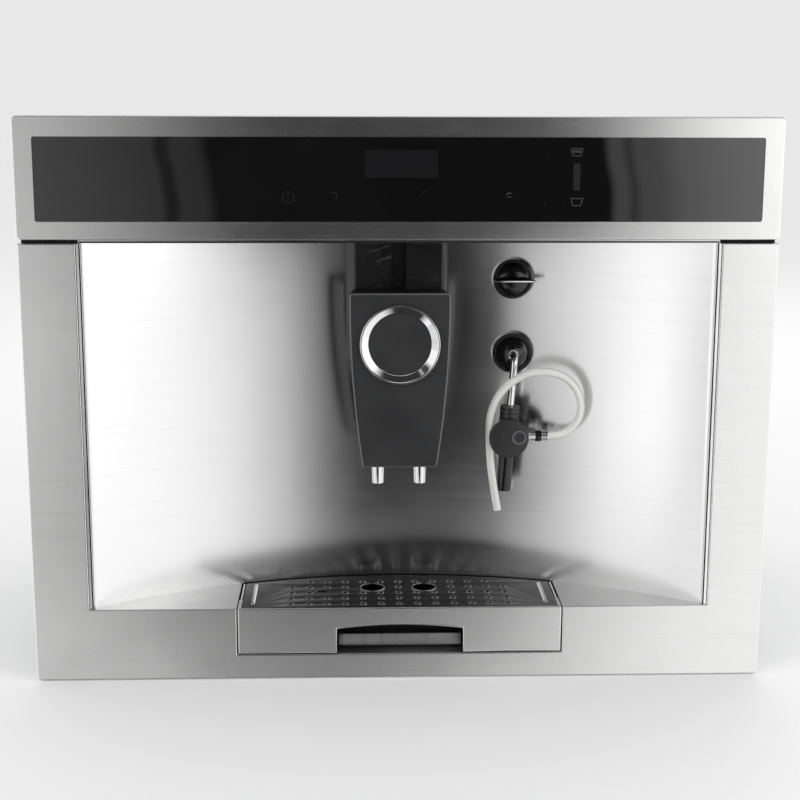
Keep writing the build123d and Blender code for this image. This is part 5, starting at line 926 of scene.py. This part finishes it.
def rims_on(middles, tree, **values):
    """Mesh of a rim round every (x, depth) of the grid, with the node group's named inputs given by value."""
    seeds = bpy.data.meshes.new("seeds")
    seeds.from_pydata([tuple(place(x, depth, GRID_RISE)) for x, depth in middles], [], [])
    holder = linked_object("seeds", seeds)
    modifier = holder.modifiers.new("rims", "NODES")
    modifier.node_group = tree
    for socket in tree.interface.items_tree:
        if socket.name.replace(" ", "_") in values:
            modifier[socket.identifier] = values[socket.name.replace(" ", "_")]
    return mesh_of(holder)


def make_grid_rib(side):
    """One of the two raised ribs that run front to back beside the holes."""
    rings = []
    for step, share in RIB_START + RIB_END:
        ring = rounded_ring(RIB_HALF[0] * share, RIB_HALF[1] * share, 24)
        rings.append([place(side * RIB_X + a, HOLE_FIRST_ROW + step, GRID_RISE + b) for a, b in ring])
    return lofted(rings)


def make_drip_grid():
    """The perforated grid with rolled rims, its two ribs and its side skirts."""
    outline = [(-GRID_HALF, GRID_START), (GRID_HALF, GRID_START)]
    for step in range(BACK_STEPS + 1):
        x = GRID_HALF * (1 - 2 * step / BACK_STEPS)
        outline.append((x, wall_depth(x, WALL_RADIUS - GRID_GAP)))
    x, depth, length, width = FLOAT_SLOT
    slot = rounded([
        (x + across * length / 2, depth + back * width / 2, 1)
        for across, back in ((-1, -1), (1, -1), (1, 1), (-1, 1))
    ])
    holes = [circle(*hole, HOLE_RADIUS, 20) for hole in grid_holes()]
    holes += [circle(*hole, SPOUT_HOLE_RADIUS, 72) for hole in SPOUT_HOLES] + [slot]
    sheet = pierced_sheet(outline, holes, GRID_SHEET, GRID_EDGE)
    sheet.transform(Matrix.Translation((0, 0, GRID_RISE * MM)))
    skirt_heights = (GRID_RISE - SKIRT_DROP, GRID_RISE - GRID_SHEET)
    whole = joined([sheet, box_pair(GRID_HALF, GRID_HALF - GRID_SHEET, SKIRT_DEPTHS, skirt_heights)])
    new_piece("drip_grid_sheet", whole, "grid_steel", "drip_grid", "grid_steel", "drip_grid", sharp=30)
    ribs = joined([make_grid_rib(side) for side in (-1, 1)])
    # painted highlight: the ribs take a bright steel, lighter than the grid sheet they are pressed from
    new_piece("grid_ribs", ribs, "bright_steel", "drip_grid", "grid_steel", sharp=50)
    tree, rims = hole_rim_nodes(), []
    for middles, radius, bead in ((grid_holes(), RIM_RADIUS, 0.42), (SPOUT_HOLES, SPOUT_RIM_RADIUS, 0.6)):
        rims.append(rims_on(middles, tree, Rim_Radius=radius * MM, Bead=bead * MM, Flatness=RIM_FLATNESS,
                            Finish=FINISHES["grid_rim"]))
    # painted highlight: the rims take a steel lighter than the grid sheet they are pressed from
    new_piece("grid_hole_rims", joined(rims), "grid_rim", "drip_grid", "grid_steel", sharp=60)


make_drip_grid()

# ---- thin trims of the front
PANEL_HALF = 294.5
OPENING_HALF = 250.4
SHADE_STRIP_START = 250.6
LIP_SPAN = (250.3, 252.3)
EDGE_SPAN = (130.3, 131.7)
SHADE_STRIP_DEPTHS, SHADE_STRIP_HEIGHTS = (4.0, 5.5), (358.4, 361.6)
LIP_DEPTHS, LIP_HEIGHTS = (2.2, 12.0), (61.2, 358.2)
STRIP_DEPTHS, STRIP_HEIGHTS = (1.3, 3.0), (358.8, 361.4)
EDGE_DEPTHS, EDGE_HEIGHTS = (22.2, 64.0), (56.5, 60.8)
TRAY_HALF = 132.1
TRAY_FOOT, TRAY_TOP = 22.9, 60.4
PULL_HALF = 52.2
PULL_SHOULDER, PULL_ARCH = 43.3, 3.5
BEAD_DEPTH, BEAD_RADIUS = 0.2, 0.4
GRIP_LOW, GRIP_HIGH = 25.0, 36.0
GRIP_HALF = 51.0
GRIP_DEPTHS = (9.0, 20.0)
GRIP_BEVEL = 0.8


def make_front_trims():
    """A black strip in the joint under the panel, a painted shade for the dark behind the gap, bright lips
    beside the recess wall and a strip over the opening.
    """
    # painted shade: a black strip that blocks the light through the open joint, where the real gap is only in
    # shade
    shade_strip = box_pair(SHADE_STRIP_START, PANEL_HALF, SHADE_STRIP_DEPTHS, SHADE_STRIP_HEIGHTS)
    new_piece("panel_joint_felt", shade_strip, "felt_black", "chassis", "black_plastic")
    lips = box_pair(*LIP_SPAN, LIP_DEPTHS, LIP_HEIGHTS)
    new_piece("recess_lips", lips, "bright_steel", "chassis", "steel_front")
    strip = box_mesh((-OPENING_HALF, STRIP_DEPTHS[0], STRIP_HEIGHTS[0]),
                     (OPENING_HALF, STRIP_DEPTHS[1], STRIP_HEIGHTS[1]))
    new_piece("opening_top_strip", strip, "front_steel", "chassis", "steel_front")


def make_tray_trims():
    """Bright edges beside the tray, and a bead down its sides, along its foot and over the finger pull."""
    edges = box_pair(*EDGE_SPAN, EDGE_DEPTHS, EDGE_HEIGHTS)
    new_piece("tray_side_edges", edges, "bright_steel", "drip_tray", "steel_front")
    arch = [
        (PULL_HALF * math.sin(math.radians(a)), PULL_SHOULDER + PULL_ARCH * (1 - (a / 90) ** 2))
        for a in range(-90, 91, 10)
    ]
    line = [(-TRAY_HALF, TRAY_TOP), (-TRAY_HALF, TRAY_FOOT), (-PULL_HALF, TRAY_FOOT), *arch]
    line += [(PULL_HALF, TRAY_FOOT), (TRAY_HALF, TRAY_FOOT), (TRAY_HALF, TRAY_TOP)]
    route = [(x, BEAD_DEPTH, z) for x, z in line]
    curve, _ = round_curve("bead_line", "POLY", route, BEAD_RADIUS, 2)
    mesh = mesh_of(linked_object("bead_line", curve))
    tidy_mesh(mesh)
    new_piece("tray_front_bead", mesh, "bright_steel", "drip_tray", "steel_front", sharp=60)


def make_grip_plate():
    """The finger grip's steel plate: round lower corners, an eased front edge and upright brush lines."""
    outline = rounded([
        (-GRIP_HALF, GRIP_LOW, 3.2), (GRIP_HALF, GRIP_LOW, 3.2), (GRIP_HALF, GRIP_HIGH, 0.6),
        (-GRIP_HALF, GRIP_HIGH, 0.6),
    ])
    plate = prism(outline, *GRIP_DEPTHS, GRIP_BEVEL)
    new_piece("grip_plate_brushed", plate, "grip_steel", "drip_tray", "steel_front", "grip_plate")


make_front_trims()
make_tray_trims()
make_grip_plate()

# ---- marks on the glass
GLASS_DEPTH = -1.7
PRINT_THICK = 0.05
POWER_SPOT = (-87.4, 394.6)
POWER_RADIUS = 4.4
POWER_RING = [
    (POWER_SPOT[0] + POWER_RADIUS * math.sin(a), POWER_SPOT[1] + POWER_RADIUS * math.cos(a))
    for a in map(math.radians, range(40, 321, 10))
]
# lines of (x, z) and their width: power, steam, water, strength and two dots
FAINT_STROKES = [
    (POWER_RING, 0.9),
    ([(-87.4, 395.0), (-87.4, 400.0)], 0.9),
    ([(-54.5, 398.0), (-51.5, 398.6), (-49.5, 396.6), (-50.6, 393.2)], 0.8),
    ([(16.0, 397.0), (18.6, 399.6)], 0.8),
    ([(135.8, 399.6), (135.8, 420.6)], 5.2),
    ([(112.4, 427.7), (113.6, 427.7)], 0.8),
    ([(111.4, 388.2), (111.4, 389.8)], 0.7),
]
BEAN_STROKES = [
    ([(81.5, 396.0), (83.2, 397.9), (85.4, 397.4)], 0.9),
    ([(82.0, 394.6), (86.0, 394.6)], 0.7),
]
FULL_CUP = (135.4, 428.7)
EMPTY_CUP = (136.2, 390.4)


def stroke(points, width):
    """A thin printed line through points of (x, z) millimetres on the glass."""
    line = [Vector(point) for point in points]
    rings = []
    for index, here in enumerate(line):
        before, after = line[max(index - 1, 0)], line[min(index + 1, len(line) - 1)]
        along = (after - before).normalized()
        side = Vector((-along.y, along.x)) * width / 2
        rings.append([
            place(spot.x, GLASS_DEPTH - lift * PRINT_THICK, spot.y)
            for spot, lift in ((here + side, 0), (here - side, 0), (here - side, 1), (here + side, 1))
        ])
    return lofted(rings)


def cup_strokes(x, z):
    """A plain cup: a tapered bowl and its brim."""
    bowl = [(x - 4.6, z + 3.2), (x - 3.0, z - 2.4), (x + 3.0, z - 2.4), (x + 4.6, z + 3.2)]
    return [(bowl, 0.9), ([(x - 4.9, z + 3.2), (x + 4.9, z + 3.2)], 0.9)]


def make_glass_marks():
    """The faint printed marks and the display window behind the glass."""
    x, z = FULL_CUP
    drink = ([(x - 3.0, z + 1.0), (x + 3.0, z + 1.0)], 2.2)
    clearer = [*cup_strokes(*FULL_CUP), drink, *cup_strokes(*EMPTY_CUP), *BEAN_STROKES]
    prints = (("faint_marks", "faint_print", FAINT_STROKES), ("glass_marks", "icon_print", clearer))
    for name, finish, strokes in prints:
        mesh = joined([stroke(*given) for given in strokes])
        new_piece(name, mesh, finish, "chassis", "black_glass")
    window = box_mesh((-28.0, GLASS_DEPTH - 0.03, 409.5), (28.2, GLASS_DEPTH, 430.8))
    new_piece("display_window", window, "display_film", "chassis", "black_glass")


make_glass_marks()

# ---- studio
# A sheet of light stands at a place in y and spans two places in x. Its bands are light levels at places in
# x, and the pair before a band gives the heights between which it takes over from the band under it.
FAR_SHEET = (-1.42, -2.6, 0.3)
FAR_GLASS = [
    (-2.6, 1.2), (-1.1, 1.2), (-0.75, 0.82), (-0.5, 0.46), (-0.342, 0.26), (-0.335, 0.1), (-0.32, 0.1),
    (-0.312, 0.23), (-0.27, 0.2), (-0.262, 0.04), (0.3, 0.03),
]
FAR_BANDS = [
    (None, [(-2.6, 0.95), (-0.8, 0.8), (-0.5, 0.5), (-0.35, 0.05), (0.3, 0.03)]),
    ((-1.1, -0.8), [(-2.6, 1.0), (-0.4, 0.85), (-0.32, 0.8), (-0.2, 0.5), (-0.13, 0.41), (0.3, 0.48)]),
    (
        (-0.43, -0.33),
        [(-2.6, 0.7), (-1.8, 0.85), (-1.25, 1.35), (-0.95, 1.15), (-0.7, 0.68), (-0.55, 0.38), (-0.4, 0.15),
         (-0.34, 0.02)],
    ),
    (
        (-0.22, 0.0),
        [(-2.6, 0.7), (-1.9, 0.85), (-1.3, 1.17), (-1.1, 1.17), (-0.8, 0.98), (-0.5, 0.7), (-0.4, 0.45),
         (-0.35, 0.08), (-0.33, 0.02)],
    ),
    ((0.19, 0.24), FAR_GLASS),
    ((0.85, 1.05), [(-2.6, 0.1), (0.3, 0.03)]),
]
NEAR_SHEET = (-0.8, 0.0, 2.6)
NEAR_GLASS = [
    (0.0, 0.03), (0.258, 0.035), (0.264, 0.43), (0.283, 0.46), (0.2855, 0.07), (0.29, 0.07), (0.2925, 0.47),
    (0.316, 0.5), (0.345, 0.78), (0.4, 1.05), (0.47, 1.3), (0.52, 1.7), (2.6, 1.7),
]
NEAR_BANDS = [
    (None, [(0.0, 0.03), (0.25, 0.05), (0.4, 0.5), (0.6, 1.0), (2.6, 1.2)]),
    ((-0.85, -0.65), [(0.0, 0.48), (0.05, 0.58), (0.19, 0.8), (0.4, 1.1), (2.6, 1.3)]),
    (
        (-0.23, -0.11),
        [(0.0, 0.02), (0.08, 0.03), (0.13, 0.14), (0.17, 0.34), (0.21, 0.6), (0.3, 0.88), (0.36, 1.0),
         (0.5, 1.13), (1.2, 1.4), (2.6, 1.4)],
    ),
    ((0.275, 0.3), NEAR_GLASS),
    ((0.65, 0.85), [(0.0, 0.03), (2.6, 0.1)]),
]
SHEET_LOW = -1.3
SHEET_HIGH = 1.25
SHEET_WAVE = 0.009
GLASS_LEAN = 0.012
LEAN_HEIGHT = 0.15

FLOOR_HALF = 12.0
FLOOR_COLOUR = (0.91, 0.91, 0.91, 1.0)
WORLD_LEVEL = 0.9
BACKDROP_LEVEL = 0.81
SIDE_LEVEL = 1.15
LAMP_TARGET = Vector((0, 0, 0.2))
# a lamp's place, width and power
LAMPS = {
    "lamp_left": ((-1.5, -1.6, 1.5), 1.2, 8),
    "lamp_right": ((1.7, -1.5, 1.3), 1.2, 9),
    "lamp_back": ((0.5, 1.8, 1.8), 1.4, 8),
}


def stage_mesh(name, points, material):
    """A flat piece of the studio, which isn't part of the machine."""
    mesh = bpy.data.meshes.new(name)
    mesh.from_pydata(points, [], [(0, 1, 2, 3)])
    mesh.materials.append(material)
    staged = linked_object(name, mesh)
    return staged


def add_floor():
    """The plain pale floor."""
    paint = new_material("floor_paint", Roughness=0.9, Base_Color=FLOOR_COLOUR)[0]
    corners = [(x * FLOOR_HALF, y * FLOOR_HALF, 0) for x, y in ((-1, -1), (1, -1), (1, 1), (-1, 1))]
    stage_mesh("floor", corners, paint).visible_glossy = False


def level_ramp(tree, across, span, table):
    """Light level across a sheet from a table of places and levels."""
    ramp = add_node(tree, "ShaderNodeValToRGB", {0: between(tree, across, *span)})
    stops = ramp.color_ramp.elements
    while len(stops) < len(table):
        stops.new(0.5)
    for stop, (x, level) in zip(stops, table):
        stop.position = (x - span[0]) / (span[1] - span[0])
        stop.color = (level, level, level, 1.0)
    return ramp.outputs["Color"]


def add_light_sheet(name, place_and_span, bands, shift):
    """A tall sheet of soft light in front of the machine, which only metal and gloss mirror."""
    y, *span = place_and_span
    made = bpy.data.materials.new(name)
    made.use_nodes = True
    tree = made.node_tree
    tree.nodes.clear()
    spot = object_spot(tree)
    x, _, z = add_node(tree, "ShaderNodeSeparateXYZ", {0: spot}).outputs
    level_only = stretched(tree, spot, (0.0, 0.0, 1.0))
    lifted = add_node(tree, "ShaderNodeVectorMath", enumerate((level_only, (0.0, 0.0, shift)))).outputs[0]
    wave = between(tree, noise_node(tree, lifted, 9.0, 1.5), 0.3, 0.7, -SHEET_WAVE, SHEET_WAVE)
    across = plus(tree, x, wave)
    glass_foot = bands[-2][0][1]
    lean = between(tree, z, glass_foot, glass_foot + LEAN_HEIGHT, -GLASS_LEAN, 0.0)
    lit = None
    for heights, table in bands:
        here = plus(tree, across, lean) if table in (FAR_GLASS, NEAR_GLASS) else across
        level = level_ramp(tree, here, span, table)
        lit = mixed(tree, between(tree, z, *heights), lit, level) if heights else level
    glow = add_node(tree, "ShaderNodeEmission", {"Strength": lit})
    add_node(tree, "ShaderNodeOutputMaterial", {"Surface": glow})
    left, right = span
    corners = [(left, y, SHEET_LOW), (right, y, SHEET_LOW), (right, y, SHEET_HIGH), (left, y, SHEET_HIGH)]
    sheet = stage_mesh(name, corners, made)
    for ray in ("camera", "diffuse", "transmission", "shadow", "volume_scatter"):
        setattr(sheet, "visible_" + ray, False)


def add_world():
    """Pale behind the machine, even light round it, and bright sides for the metal to mirror."""
    world = bpy.data.worlds.new("studio")
    bpy.context.scene.world = world
    world.use_nodes = True
    tree = world.node_tree
    path = add_node(tree, "ShaderNodeLightPath").outputs
    way = add_node(tree, "ShaderNodeTexCoord").outputs["Generated"]
    x, y, z = add_node(tree, "ShaderNodeSeparateXYZ", {0: way}).outputs
    aside = between(tree, math_node(tree, "ABSOLUTE", x), 0.42, 0.56)
    sides = times(tree, times(tree, aside, between(tree, z, 0.5, 0.62, 1.0, 0.12)), SIDE_LEVEL)
    overhead = between(tree, z, 0.8, 0.95, 0.04, 0.75)
    behind = between(tree, y, -0.05, 0.35, 0.0, 0.7)
    mirrored = times(tree, path["Is Glossy Ray"], larger(tree, larger(tree, sides, overhead), behind))
    level = plus(tree, between(tree, path["Is Glossy Ray"], 0.0, 1.0, WORLD_LEVEL, 0.0), mirrored)
    seen = larger(tree, path["Is Camera Ray"], path["Is Transmission Ray"])
    back = tree.nodes["Background"].inputs
    feed(tree, back["Color"], (1.0, 1.0, 1.0, 1.0))
    feed(tree, back["Strength"], between(tree, seen, 0.0, 1.0, level, BACKDROP_LEVEL))


def add_lamp(name, spot, width, power):
    """A square soft lamp at a spot, turned to the machine."""
    data = bpy.data.lights.new(name, "AREA")
    data.shape = "SQUARE"
    data.size = width
    data.energy = power
    lamp = linked_object(name, data)
    lamp.location = spot
    lamp.rotation_euler = (LAMP_TARGET - Vector(spot)).to_track_quat("-Z", "Y").to_euler()
    lamp.visible_glossy = False


bpy.context.scene.view_settings.view_transform = "Standard"
add_floor()
add_light_sheet("light_sheet_far", FAR_SHEET, FAR_BANDS, 0.0)
add_light_sheet("light_sheet_near", NEAR_SHEET, NEAR_BANDS, 0.35)
add_world()
for lamp_name, lamp_values in LAMPS.items():
    add_lamp(lamp_name, *lamp_values)
